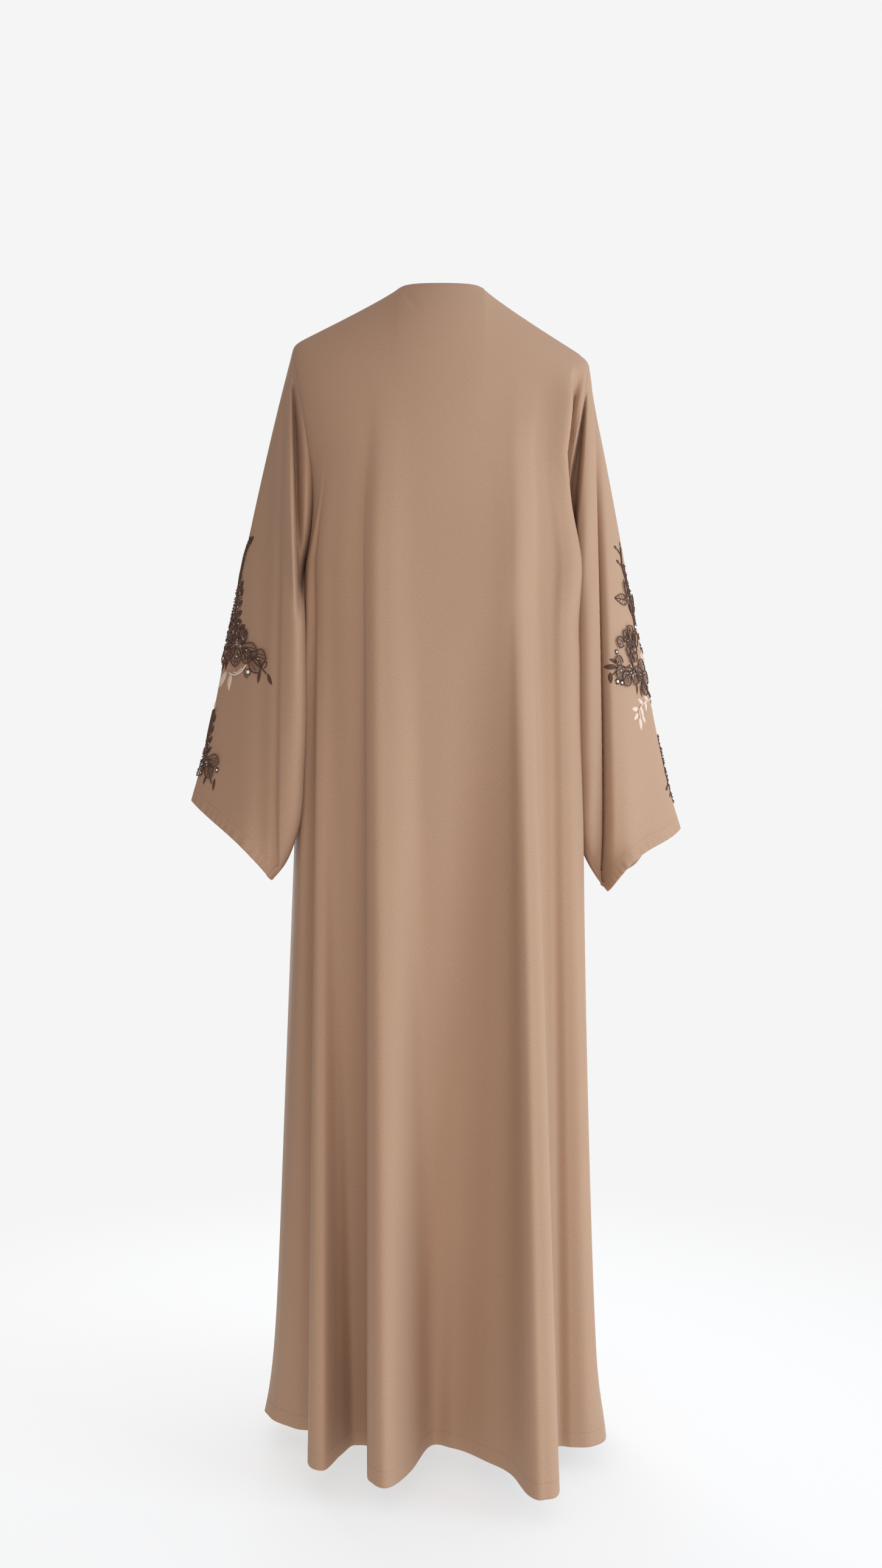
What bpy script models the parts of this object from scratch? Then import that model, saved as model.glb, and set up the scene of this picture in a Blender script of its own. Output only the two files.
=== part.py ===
"""Abaya cloak, worn on a general figure.

A collarless, ankle-length cloak in heavy crepe: one back, two fronts that meet edge to edge, two wide sleeves
with slanted cuffs, and four applied flower sprays along the outer line of the sleeves.

Frame: metres, +Z up. The origin is level with the side-neck points, in the middle of the neck opening. The fronts
face -Y and the back +Y, so the wearer's left is +X.
"""

import math

import bmesh
import bpy
import numpy as np

# Cloth
WALL = 0.0012
SEAM_GAP = 0.0008
ARMHOLE_GAP = 0.0009
UNDERARM_GAP = 0.0019
SPRAY_WALL = 0.001
SPRAY_GAP = 0.0007

# Neck and shoulders. The shoulder ridge runs on over the neck opening, and the necklines are cut from the surface
# that rolls down from it, at these angles of the roll.
NECK_HALF_WIDTH = 0.0525
NECK_RIDGE_RISE = 0.016
BACK_NECK_ROLL = math.radians(24)
FRONT_NECK_ROLL = math.radians(57)
SHOULDER_SLOPE_POWER = 0.9
CHEST_FLATNESS = 0.9
FRONT_GAP_AT_NECK = 0.003
EDGE_REACH_POWER = 4

# Levels, downward from the side-neck points
UNDERARM_Z = -0.345
HEM_Z = -1.416

# How fast the armhole's hold on the lines of the body dies out towards the middle
ARMHOLE_SLIDE_POWER = 2
ARMHOLE_REACH_POWER = 6

# How the folds open on their way down (1 is a straight flare)
FOLD_OPENING = 1.12

# The body without its folds: half widths at each side, the depths of the back and the front, and how the section
# rounds from the sides to them (1 is an ellipse, less is squarer)
BODY_LEVELS = (
    # z, left_x, right_x, back_y, front_y, rounding
    (-0.200, 0.1610, -0.1590, 0.110, -0.127, 0.54),
    (-0.345, 0.1660, -0.1630, 0.111, -0.128, 0.62),
    (-0.480, 0.1710, -0.1700, 0.112, -0.131, 0.78),
    (-0.747, 0.1840, -0.1790, 0.114, -0.135, 0.85),
    (-1.100, 0.1990, -0.1860, 0.117, -0.139, 0.85),
    (-1.340, 0.2100, -0.1940, 0.119, -0.142, 0.85),
    (-1.416, 0.2160, -0.2000, 0.120, -0.143, 0.85),
)

# Fold lines of the back. turn is the line's place round the panel, in degrees from the left side seam; the line
# leaves the smooth body at start_z and reaches (hem_x, hem_y) at the hem.
BACK_FOLDS = (
    # name, turn, start_z, hem_x, hem_y
    ("left side seam", 0, -0.40, 0.223, -0.041),
    ("left corner", 9, -0.40, 0.207, -0.010),
    ("outer left ridge", 17, -0.36, 0.180, 0.015),
    ("outer left tuck", 22.5, -0.30, 0.152, 0.040),
    ("left roll flank", 26.5, -0.24, 0.158, 0.101),
    ("left roll", 31.5, -0.22, 0.138, 0.136),
    ("left roll inner flank", 38, -0.22, 0.120, 0.094),
    ("left valley", 47, -0.20, 0.103, 0.064),
    ("left blade tuck", 54, -0.16, 0.088, 0.098),
    ("left blade flank", 59.5, -0.14, 0.088, 0.151),
    ("left blade roll", 69, -0.12, 0.062, 0.1815),
    ("left blade inner flank", 78, -0.14, 0.033, 0.142),
    ("centre valley", 86, -0.18, 0.018, 0.060),
    ("centre", 97, -0.20, -0.009, 0.066),
    ("centre slope", 111, -0.18, -0.054, 0.104),
    ("right blade root", 119, -0.15, -0.084, 0.146),
    ("right blade flank", 125, -0.13, -0.096, 0.200),
    ("right blade roll", 131, -0.12, -0.112, 0.214),
    ("right blade outer flank", 136.5, -0.14, -0.133, 0.189),
    ("right blade tuck", 143, -0.18, -0.138, 0.090),
    ("right valley", 152, -0.24, -0.160, 0.071),
    ("right corner", 167, -0.30, -0.197, 0.048),
    ("right side seam", 180, -0.40, -0.207, 0.010),
)

# Fold lines of the fronts, in degrees from the side seam to the front edge
LEFT_FRONT_FOLDS = (
    # name, turn, start_z, hem_x, hem_y
    ("side seam", 0, -0.40, 0.223, -0.041),
    ("side roll", 13, -0.36, 0.212, -0.112),
    ("side tuck", 25, -0.31, 0.168, -0.092),
    ("bust flank", 35, -0.27, 0.154, -0.124),
    ("bust roll", 44, -0.25, 0.130, -0.178),
    ("bust inner flank", 54, -0.25, 0.103, -0.156),
    ("bust valley", 62, -0.26, 0.090, -0.104),
    ("inner flank", 70, -0.29, 0.074, -0.140),
    ("inner roll", 79, -0.30, 0.050, -0.175),
    ("front edge", 90, -0.34, 0.013, -0.124),
)
RIGHT_FRONT_FOLDS = (
    # name, turn, start_z, hem_x, hem_y
    ("side seam", 0, -0.40, -0.207, 0.010),
    ("side roll", 15, -0.36, -0.210, -0.080),
    ("side tuck", 25, -0.31, -0.178, -0.084),
    ("bust flank", 34, -0.27, -0.160, -0.116),
    ("bust roll", 43, -0.25, -0.138, -0.171),
    ("bust inner flank", 54, -0.26, -0.110, -0.160),
    ("bust valley", 63, -0.27, -0.096, -0.106),
    ("inner flank", 71, -0.29, -0.072, -0.130),
    ("inner roll", 80, -0.30, -0.047, -0.166),
    ("front edge", 90, -0.34, -0.013, -0.120),
)

# Slanted rings of each sleeve, from the armhole to the cuff. Each ring runs from the outer line of the arm to the
# inner line under it and bulges to the back and the front. bow shifts its middle sideways, so that it runs straight
# from the outer line to the middle and curves from there to the inner line.
LEFT_SLEEVE_RINGS = (
    # share, outer_x, outer_y, outer_z, inner_x, inner_y, inner_z, back, front, bow
    (0.00, 0.1836, 0.000, -0.0720, 0.1660, 0.000, -0.345, 0.058, 0.058, -0.0148),
    (0.08, 0.1960, 0.000, -0.1180, 0.1800, 0.014, -0.368, 0.064, 0.066, -0.0060),
    (0.30, 0.2245, -0.002, -0.2380, 0.1700, 0.050, -0.455, 0.050, 0.076, 0.0000),
    (0.60, 0.2650, -0.008, -0.4250, 0.1705, 0.060, -0.590, 0.040, 0.078, 0.0000),
    (0.85, 0.2970, -0.016, -0.5700, 0.1860, 0.050, -0.690, 0.034, 0.068, 0.0000),
    (1.00, 0.3160, -0.020, -0.6270, 0.2085, 0.036, -0.733, 0.030, 0.062, 0.0000),
)
RIGHT_SLEEVE_RINGS = (
    # share, outer_x, outer_y, outer_z, inner_x, inner_y, inner_z, back, front, bow
    (0.00, -0.1836, 0.000, -0.0900, -0.1630, 0.000, -0.345, 0.058, 0.058, 0.0150),
    (0.08, -0.1900, 0.000, -0.1320, -0.1780, 0.012, -0.369, 0.064, 0.066, 0.0050),
    (0.30, -0.2110, -0.002, -0.2450, -0.1750, 0.030, -0.460, 0.060, 0.072, 0.0000),
    (0.60, -0.2500, -0.008, -0.4500, -0.1810, 0.030, -0.610, 0.060, 0.076, 0.0000),
    (0.85, -0.2830, -0.016, -0.6050, -0.1900, 0.026, -0.705, 0.052, 0.070, 0.0000),
    (1.00, -0.3020, -0.020, -0.6660, -0.2060, 0.024, -0.7485, 0.044, 0.062, 0.0000),
)

# Folds of the sleeves: upright ridges (depth above 0) and troughs (below 0) on the back or the front of the sleeve
LEFT_SLEEVE_FOLDS = (
    # name, side, top_x, top_z, low_x, low_z, half_width, depth_top, depth_low
    ("armhole trough", 1, 0.186, -0.09, 0.168, -0.34, 0.008, -0.008, -0.004),
    ("inner roll", 1, 0.192, -0.12, 0.186, -0.72, 0.014, 0.006, 0.012),
    ("outer trough", 1, 0.212, -0.20, 0.213, -0.72, 0.015, -0.006, -0.012),
    ("front roll", -1, 0.205, -0.16, 0.222, -0.72, 0.018, 0.006, 0.012),
    ("front trough", -1, 0.228, -0.28, 0.252, -0.70, 0.015, -0.004, -0.010),
)
RIGHT_SLEEVE_FOLDS = (
    # name, side, top_x, top_z, low_x, low_z, half_width, depth_top, depth_low
    ("armhole trough", 1, -0.168, -0.12, -0.166, -0.34, 0.009, -0.010, -0.004),
    ("inner roll", 1, -0.182, -0.12, -0.183, -0.74, 0.012, 0.006, 0.011),
    ("outer trough", 1, -0.196, -0.18, -0.201, -0.74, 0.010, -0.008, -0.014),
    ("outer roll", 1, -0.214, -0.26, -0.224, -0.72, 0.014, 0.003, 0.007),
    ("front roll", -1, -0.202, -0.16, -0.214, -0.72, 0.018, 0.006, 0.012),
    ("front trough", -1, -0.222, -0.30, -0.244, -0.70, 0.015, -0.004, -0.010),
)

# Outlines of the flower sprays as they show from the side of the sleeve
LEFT_UPPER_SPRAY = (
    # z, back_y, front_y
    (-0.306, 0.004, -0.004),
    (-0.340, 0.010, -0.020),
    (-0.365, 0.012, -0.034),
    (-0.385, 0.022, -0.030),
    (-0.410, 0.018, -0.046),
    (-0.435, 0.032, -0.050),
    (-0.452, 0.040, -0.036),
    (-0.475, 0.022, -0.044),
    (-0.500, 0.004, -0.016),
)
LEFT_LOWER_SPRAY = (
    # z, back_y, front_y
    (-0.515, 0.002, -0.014),
    (-0.545, 0.010, -0.036),
    (-0.570, 0.012, -0.052),
    (-0.595, 0.004, -0.046),
    (-0.618, -0.014, -0.030),
)
RIGHT_UPPER_SPRAY = (
    # z, back_y, front_y
    (-0.318, 0.004, -0.004),
    (-0.350, 0.014, -0.018),
    (-0.378, 0.012, -0.034),
    (-0.400, 0.026, -0.030),
    (-0.425, 0.022, -0.046),
    (-0.452, 0.034, -0.050),
    (-0.478, 0.030, -0.036),
    (-0.505, 0.018, -0.040),
    (-0.535, 0.002, -0.016),
)
RIGHT_LOWER_SPRAY = (
    # z, back_y, front_y
    (-0.552, 0.000, -0.012),
    (-0.580, 0.012, -0.036),
    (-0.605, 0.010, -0.050),
    (-0.630, -0.002, -0.042),
    (-0.648, -0.016, -0.030),
)

# How far out to each side the prisms that cut the sprays run
PRISM_FROM = 0.205
PRISM_TO = 0.360

# How the sleeve folds die out: over a length at their tops, towards the sleeve's outer and inner lines, and over a
# share of the sleeve at the armhole
FOLD_TOP_FADE = 0.04
FOLD_SIDE_FADE = 0.35
FOLD_ARMHOLE_FADE = 0.06

# Mesh
UPPER_ROWS = 13
LOWER_ROWS = 6
SLEEVE_ROWS = 10
SLEEVE_SIDES = 2 * UPPER_ROWS
BACK_NECK_TURN = 69.0
FRONT_NECK_TURN = 54.0

# Finish: colour, roughness
CREPE = ("crepe", (0.405, 0.246, 0.167), 0.72)
ORGANZA = ("organza", (0.070, 0.040, 0.029), 0.50)


def curve(at, knots, values):
    """A smooth curve through the values at the knots, which rise."""
    knots = np.asarray(knots, float)
    values = np.asarray(values, float)
    slopes = np.gradient(values, knots)
    left = np.clip(np.searchsorted(knots, at, side="right") - 1, 0, len(knots) - 2)
    width = knots[left + 1] - knots[left]
    t = np.clip((at - knots[left]) / width, 0, 1)
    start = (1 + 2 * t) * (1 - t) ** 2
    end = t * t * (3 - 2 * t)
    start_slope = t * (1 - t) ** 2 * width
    end_slope = t * t * (t - 1) * width
    return (
        start * values[left]
        + end * values[left + 1]
        + start_slope * slopes[left]
        + end_slope * slopes[left + 1]
    )


def columns(table, names_before=0):
    """A table's columns as arrays, without its first names."""
    return np.array([row[names_before:] for row in table], float).T


def ring_point(rings, share, turn):
    """A point of the smooth sleeve, share of the way down it and turn radians round it from its outer line."""
    at, *sizes = columns(rings)
    values = [curve(share, at, size) for size in sizes]
    outer_x, outer_y, outer_z, inner_x, inner_y, inner_z, back, front, bow = values
    level = np.cos(turn)
    inward = (1 - level) / 2
    bulge = np.where(np.sin(turn) > 0, back, front) * np.sin(turn)
    x = outer_x + (inner_x - outer_x) * inward + bow * (1 - level - 2 * np.minimum(level, 0) ** 2)
    y = outer_y + (inner_y - outer_y) * inward + bulge
    z = outer_z + (inner_z - outer_z) * inward
    return np.stack([x, y, z], axis=-1)


def sleeve_point(rings, folds, share, turn):
    """A point of the sleeve with its folds, which die out at the armhole."""
    place = ring_point(rings, share, turn)
    x, z = place[..., 0], place[..., 2]
    facing = np.sin(turn)
    rise = np.zeros_like(x)
    for _, side, top_x, top_z, low_x, low_z, half_width, depth_top, depth_low in folds:
        down = np.clip((top_z - z) / (top_z - low_z), 0, 1)
        off = (x - (top_x + (low_x - top_x) * down)) / half_width
        begun = np.clip((top_z - z) / FOLD_TOP_FADE, 0, 1)
        depth = (depth_top + (depth_low - depth_top) * down) * begun
        shown = np.clip(side * facing / FOLD_SIDE_FADE, 0, 1)
        rise = rise + side * depth * np.exp(-off * off) * shown
    place[..., 1] += rise * np.clip(share / FOLD_ARMHOLE_FADE, 0, 1)
    return place


def armhole(rings, side, drop_angle):
    """The armhole edge at a drop angle from the shoulder tip (0) to the underarm (pi), side 1 at the back."""
    return ring_point(rings, 0.0, side * drop_angle)


def ridge_point(turn, neck_turn, neck_angle, is_right, clear_x=0.0):
    """A point of the ridge over the shoulders, which runs on over the neck opening.

    The ridge is the shoulder line up to neck_turn. Over the opening, neck_angle is the angle round its oval, and the
    ridge keeps clear_x from the middle.
    """
    left_tip, right_tip = LEFT_SLEEVE_RINGS[0], RIGHT_SLEEVE_RINGS[0]
    tip_x = np.where(is_right, right_tip[1], left_tip[1])
    tip_z = np.where(is_right, right_tip[3], left_tip[3])
    facing = np.where(is_right, -1, 1)
    share = (1 - np.cos(np.radians(np.minimum(turn, neck_turn)))) / (1 - math.cos(math.radians(neck_turn)))
    over_neck = clear_x + (NECK_HALF_WIDTH - clear_x) * np.abs(np.cos(neck_angle))
    x = np.where(turn > neck_turn, facing * over_neck, tip_x + (facing * NECK_HALF_WIDTH - tip_x) * share)
    slope = tip_z * (1 - share) ** SHOULDER_SLOPE_POWER
    z = np.where(turn > neck_turn, NECK_RIDGE_RISE * (1 - (over_neck / NECK_HALF_WIDTH) ** 2), slope)
    return np.stack([x, 0 * x, z], axis=-1)


def back_ridge(turn):
    """The ridge over the back and the angle of the roll at which the back starts."""
    opening = (turn - BACK_NECK_TURN) / (180 - 2 * BACK_NECK_TURN)
    neck_angle = np.clip(opening, 0, 1) * math.pi
    ridge = ridge_point(np.minimum(turn, 180 - turn), BACK_NECK_TURN, neck_angle, turn > 90)
    return ridge, BACK_NECK_ROLL * np.sin(neck_angle)


def front_ridge(turn, is_right):
    """The ridge over a front and the angle of the roll at which the front starts."""
    opening = (turn - FRONT_NECK_TURN) / (90 - FRONT_NECK_TURN)
    neck_angle = np.clip(opening, 0, 1) * math.pi / 2
    ridge = ridge_point(turn, FRONT_NECK_TURN, neck_angle, is_right, FRONT_GAP_AT_NECK / 2)
    return ridge, FRONT_NECK_ROLL * np.sin(neck_angle)


def body_edge(z, seam_x, rings, side):
    """The panel's edge beside the sleeve, or at the side seam under it, at a level below the shoulder blades."""
    below_tip = np.clip((z - rings[0][3]) / (UNDERARM_Z - rings[0][3]), 0, 1)
    hole = armhole(rings, side, np.arccos(1 - 2 * below_tip))
    under = z < UNDERARM_Z
    return np.where(under, seam_x, hole[..., 0]), np.where(under, 0, hole[..., 1])


def plan_point(turn, z, side):
    """A point of a level section from the left edge (turn 0) round to the right edge (turn 180).

    Above the underarm the lines of the body slide along the section to start at the armhole, and those beside it
    follow its reach to the side.
    """
    level, left_x, right_x, back_y, front_y, rounding = columns(BODY_LEVELS[::-1])
    left_x = curve(z, level, left_x)
    right_x = curve(z, level, right_x)
    depth = curve(z, level, back_y if side > 0 else front_y)
    power = curve(z, level, rounding)

    def across(angle):
        return right_x + (left_x - right_x) * (1 + np.cos(angle)) / 2

    angle = np.radians(turn)
    near_left = np.clip(1 - turn / 90, 0, 1)
    near_right = np.clip(turn / 90 - 1, 0, 1)
    left_edge_x, left_edge_y = body_edge(z, left_x, LEFT_SLEEVE_RINGS, side)
    right_edge_x, right_edge_y = body_edge(z, right_x, RIGHT_SLEEVE_RINGS, side)
    left_start = np.arcsin(np.abs(left_edge_y / depth) ** (1 / power))
    right_start = np.arcsin(np.abs(right_edge_y / depth) ** (1 / power))
    slid = angle + left_start * near_left**ARMHOLE_SLIDE_POWER - right_start * near_right**ARMHOLE_SLIDE_POWER
    x = (
        across(slid)
        + (left_edge_x - across(left_start)) * near_left**ARMHOLE_REACH_POWER
        + (right_edge_x - across(math.pi - right_start)) * near_right**ARMHOLE_REACH_POWER
    )
    y = depth * np.abs(np.sin(slid)) ** power
    return np.stack([x, y, z + 0 * x], axis=-1)


def smooth_body(turn, row, ridge, start, side, edge_x=None):
    """A point of the body without folds. row is 0 at the top edge, 1 at the underarm and 2 at the hem.

    The cloth rolls over from the ridge, from the angle start on, down to the shoulder blades or the bust, and hangs
    from there. side is 1 at the back and -1 at the front, where edge_x is the place of the panel's front edge.
    """
    middle_share = np.sin(np.radians(turn))

    upper = np.clip(row, 0, 1)
    left_tip_z, right_tip_z = LEFT_SLEEVE_RINGS[0][3], RIGHT_SLEEVE_RINGS[0][3]
    tip_z = right_tip_z + (left_tip_z - right_tip_z) * (1 + np.cos(np.radians(turn))) / 2
    middle = (tip_z + UNDERARM_Z) / 2
    below = np.where(
        row > 1,
        UNDERARM_Z + (HEM_Z - UNDERARM_Z) * (row - 1),
        middle + (UNDERARM_Z - middle) * np.maximum(0, -np.cos(math.pi * upper)),
    )
    place = plan_point(turn, below, side)
    if edge_x is not None:
        centre_x = plan_point(90 + 0 * turn, below, side)[..., 0]
        place[..., 0] += (edge_x - centre_x) * middle_share**EDGE_REACH_POWER

    roll = start + (math.pi / 2 - start) * np.minimum(2 * upper, 1)
    flatness = 1 if side > 0 else 1 + CHEST_FLATNESS * middle_share**EDGE_REACH_POWER
    outward = np.sin(roll) ** flatness
    downward = 1 - np.cos(roll)
    over = ridge + (place - ridge) * np.stack([downward, outward, downward], axis=-1)
    return np.where((row < 0.5)[..., None], over, place)


def fold_shift(folds, turn, z, smooth_hem):
    """How far the folds carry a point from the smooth body: nothing at start_z, all of it at the hem."""
    at, start_z, hem_x, hem_y = columns(folds, 1)
    begin = curve(turn, at, start_z)
    opened = np.clip((begin - z) / (begin - HEM_Z), 0, 1) ** FOLD_OPENING
    shift_x = (curve(turn, at, hem_x) - smooth_hem[..., 0]) * opened
    shift_y = (curve(turn, at, hem_y) - smooth_hem[..., 1]) * opened
    return np.stack([shift_x, shift_y, 0 * shift_x], axis=-1)


def back_point(turn, row):
    """A point of the back, turn degrees round from the left side seam."""
    ridge, start = back_ridge(turn)
    place = smooth_body(turn, row, ridge, start, 1)
    hem = smooth_body(turn, 2 + 0 * row, ridge, start, 1)
    return place + fold_shift(BACK_FOLDS, turn, place[..., 2], hem)


def front_point(turn, row, is_right):
    """A point of a front, turn degrees round from its side seam to its edge."""
    folds = RIGHT_FRONT_FOLDS if is_right else LEFT_FRONT_FOLDS
    ridge, start = front_ridge(turn, is_right)
    round_body = 180 - turn if is_right else turn
    edge_x = FRONT_GAP_AT_NECK / 2 * (-1 if is_right else 1)
    place = smooth_body(round_body, row, ridge, start, -1, edge_x)
    hem = smooth_body(round_body, 2 + 0 * row, ridge, start, -1, edge_x)
    return place + fold_shift(folds, turn, place[..., 2], hem)


def fold_columns(folds):
    """Columns round a body panel: one on each fold line and one halfway between each two."""
    lines = columns(folds, 1)[0]
    return np.sort(np.concatenate([lines, (lines[1:] + lines[:-1]) / 2]))


def body_rows():
    """Rows down a body panel: 0 at the top edge, 1 at the underarm, 2 at the hem."""
    upper = np.arange(UPPER_ROWS) / UPPER_ROWS
    lower = 1 + np.arange(LOWER_ROWS + 1) / LOWER_ROWS
    return np.concatenate([upper, lower])


def pull_in(grid, sides):
    """Draws the named edges of a grid (rows x columns) in from their seams by half the seam gap."""
    grid = grid.copy()
    inward = {
        "top": (np.s_[0, :], np.s_[1, :]),
        "bottom": (np.s_[-1, :], np.s_[-2, :]),
        "start": (np.s_[:, 0], np.s_[:, 1]),
        "end": (np.s_[:, -1], np.s_[:, -2]),
    }
    for side in sides:
        edge, inner = inward[side]
        step = grid[inner] - grid[edge]
        grid[edge] += step / np.linalg.norm(step, axis=-1, keepdims=True) * SEAM_GAP / 2
    return grid


def outward(grid, closed):
    """The unit direction out of a grid of points at each of them."""
    down = np.gradient(grid, axis=0)
    across = np.roll(grid, -1, axis=1) - np.roll(grid, 1, axis=1) if closed else np.gradient(grid, axis=1)
    out = np.cross(down, across)
    return out / np.linalg.norm(out, axis=-1, keepdims=True)


def make_wall(name, outer, inner, closed, material):
    """A closed wall between an outer and an inner grid of points, joined along their open edges."""
    rows, cols = outer.shape[:2]
    mesh = bmesh.new()
    skins = [[[mesh.verts.new(point) for point in row] for row in grid] for grid in (outer, inner)]

    def quad(a, b, c, d):
        mesh.faces.new((a, b, c))
        mesh.faces.new((a, c, d))

    spans = cols if closed else cols - 1
    near, far = skins
    for r in range(rows - 1):
        for c in range(spans):
            after = (c + 1) % cols
            quad(near[r][c], near[r + 1][c], near[r + 1][after], near[r][after])
            mesh.faces.new((far[r][c], far[r + 1][after], far[r + 1][c]))
            mesh.faces.new((far[r][c], far[r][after], far[r + 1][after]))
    for c in range(spans):
        after = (c + 1) % cols
        quad(near[0][c], near[0][after], far[0][after], far[0][c])
        quad(near[-1][after], near[-1][c], far[-1][c], far[-1][after])
    for r in range(0 if closed else rows - 1):
        quad(near[r + 1][0], near[r][0], far[r][0], far[r + 1][0])
        quad(near[r][-1], near[r + 1][-1], far[r + 1][-1], far[r][-1])
    return make_object(name, mesh, material)


def make_object(name, mesh, material):
    """An object for a finished mesh, shaded smooth."""
    data = bpy.data.meshes.new(name)
    mesh.to_mesh(data)
    mesh.free()
    if material:
        data.materials.append(material)
    data.shade_smooth()
    piece = bpy.data.objects.new(name, data)
    bpy.context.scene.collection.objects.link(piece)
    return piece


def make_cloth(name, grid, closed, material):
    """Cloth with half its wall to each side of a grid of points."""
    out = outward(grid, closed) * WALL / 2
    return make_wall(name, grid + out, grid - out, closed, material)


def make_material(name, colour, roughness):
    """A plain cloth finish."""
    material = bpy.data.materials.new(name)
    material.use_nodes = True
    shader = material.node_tree.nodes["Principled BSDF"]
    shader.inputs["Base Color"].default_value = (*colour, 1)
    shader.inputs["Roughness"].default_value = roughness
    shader.inputs["Metallic"].default_value = 0
    return material


def make_back(crepe):
    """The back, from its left side to its right side as seen from behind."""
    turn, row = np.meshgrid(fold_columns(BACK_FOLDS), body_rows())
    grid = pull_in(back_point(turn, row), ("top", "start", "end"))
    return make_cloth("back", grid, False, crepe)


def make_front(name, is_right, crepe):
    """A front, from its edge round to its side seam for the left one and the other way for the right one."""
    folds = RIGHT_FRONT_FOLDS if is_right else LEFT_FRONT_FOLDS
    turn, row = np.meshgrid(fold_columns(folds), body_rows())
    grid = pull_in(front_point(turn, row, is_right), ("top", "start"))
    if not is_right:
        grid = grid[:, ::-1]
    return make_cloth(name, grid, False, crepe)


def sleeve_grid(rings, folds, is_right):
    """The points of a sleeve, rows of rings from the armhole to the cuff.

    The first ring stands off the armhole, most under the arm, where the walls meet in a V.
    """
    share = np.linspace(0, 1, SLEEVE_ROWS + 1)
    turn = np.arange(SLEEVE_SIDES) * 2 * math.pi / SLEEVE_SIDES
    turns, shares = np.meshgrid(turn, share)
    grid = sleeve_point(rings, folds, shares, turns)
    off = ARMHOLE_GAP + (UNDERARM_GAP - ARMHOLE_GAP) * (1 - np.cos(turn)) / 2
    grid[0, :, 0] += -off if is_right else off
    return grid[:, ::-1] if is_right else grid


def make_prism(name, outline, facing):
    """A prism through one sleeve, with a spray's outline as it shows from the side."""
    levels, back_y, front_y = columns(outline)
    mesh = bmesh.new()
    loop = [(y, z) for y, z in zip(back_y, levels)] + [(y, z) for y, z in zip(front_y[::-1], levels[::-1])]
    face = mesh.faces.new([mesh.verts.new((facing * PRISM_FROM, y, z)) for y, z in loop])
    grown = bmesh.ops.extrude_face_region(mesh, geom=[face])["geom"]
    tops = [item for item in grown if isinstance(item, bmesh.types.BMVert)]
    bmesh.ops.translate(mesh, verts=tops, vec=(facing * (PRISM_TO - PRISM_FROM), 0, 0))
    bmesh.ops.recalc_face_normals(mesh, faces=mesh.faces)
    prism = make_object(name, mesh, None)
    prism.hide_render = True
    prism.display_type = "WIRE"
    return prism


def make_spray(name, sleeve, outline, is_right, organza):
    """A flower spray: the sleeve's own points moved out, cut to the spray's outline."""
    half = SLEEVE_SIDES // 4
    patch = np.roll(sleeve, half, axis=1)
    out = np.roll(outward(sleeve, True), half, axis=1)
    used = np.s_[:, : 2 * half + 1]
    inner = patch[used] + out[used] * (WALL / 2 + SPRAY_GAP)
    spray = make_wall(name, inner + out[used] * SPRAY_WALL, inner, False, organza)
    cut = spray.modifiers.new("outline", "BOOLEAN")
    cut.operation = "INTERSECT"
    cut.solver = "EXACT"
    cut.object = make_prism(name + "_outline", outline, -1 if is_right else 1)
    return spray


def main():
    for piece in list(bpy.data.objects):
        bpy.data.objects.remove(piece, do_unlink=True)
    crepe = make_material(*CREPE)
    organza = make_material(*ORGANZA)
    make_back(crepe)
    make_front("front_left", False, crepe)
    make_front("front_right", True, crepe)
    sleeves = (
        ("left", LEFT_SLEEVE_RINGS, LEFT_SLEEVE_FOLDS, LEFT_UPPER_SPRAY, LEFT_LOWER_SPRAY),
        ("right", RIGHT_SLEEVE_RINGS, RIGHT_SLEEVE_FOLDS, RIGHT_UPPER_SPRAY, RIGHT_LOWER_SPRAY),
    )
    for side, rings, folds, upper, lower in sleeves:
        is_right = side == "right"
        sleeve = sleeve_grid(rings, folds, is_right)
        make_cloth("sleeve_" + side, sleeve, True, crepe)
        make_spray("spray_upper_" + side, sleeve, upper, is_right, organza)
        make_spray("spray_lower_" + side, sleeve, lower, is_right, organza)


main()
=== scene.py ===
# %% [markdown]
# # An abaya cloak, from the cut cloth to the last bead
#
# The real cloak is a loose, collarless, ankle-length coat in heavy crepe. A maker cuts five panels: one back, two
# fronts that meet edge to edge, and two wide sleeves with slanted cuffs. Flower sprays in dark and blush thread,
# organza, beads and stones are sewn along the outer line of each sleeve.
#
# The script works the same way round. It loads the plain solids that hold the cloak's true form, lays fine cloth on
# that form, turns its edges in, sews the sprays on, and then sets the floor, the lights and the camera.

# %% The frame
import math
import random

import bmesh
import bpy
import numpy as np
from mathutils import Matrix, Vector


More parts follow.
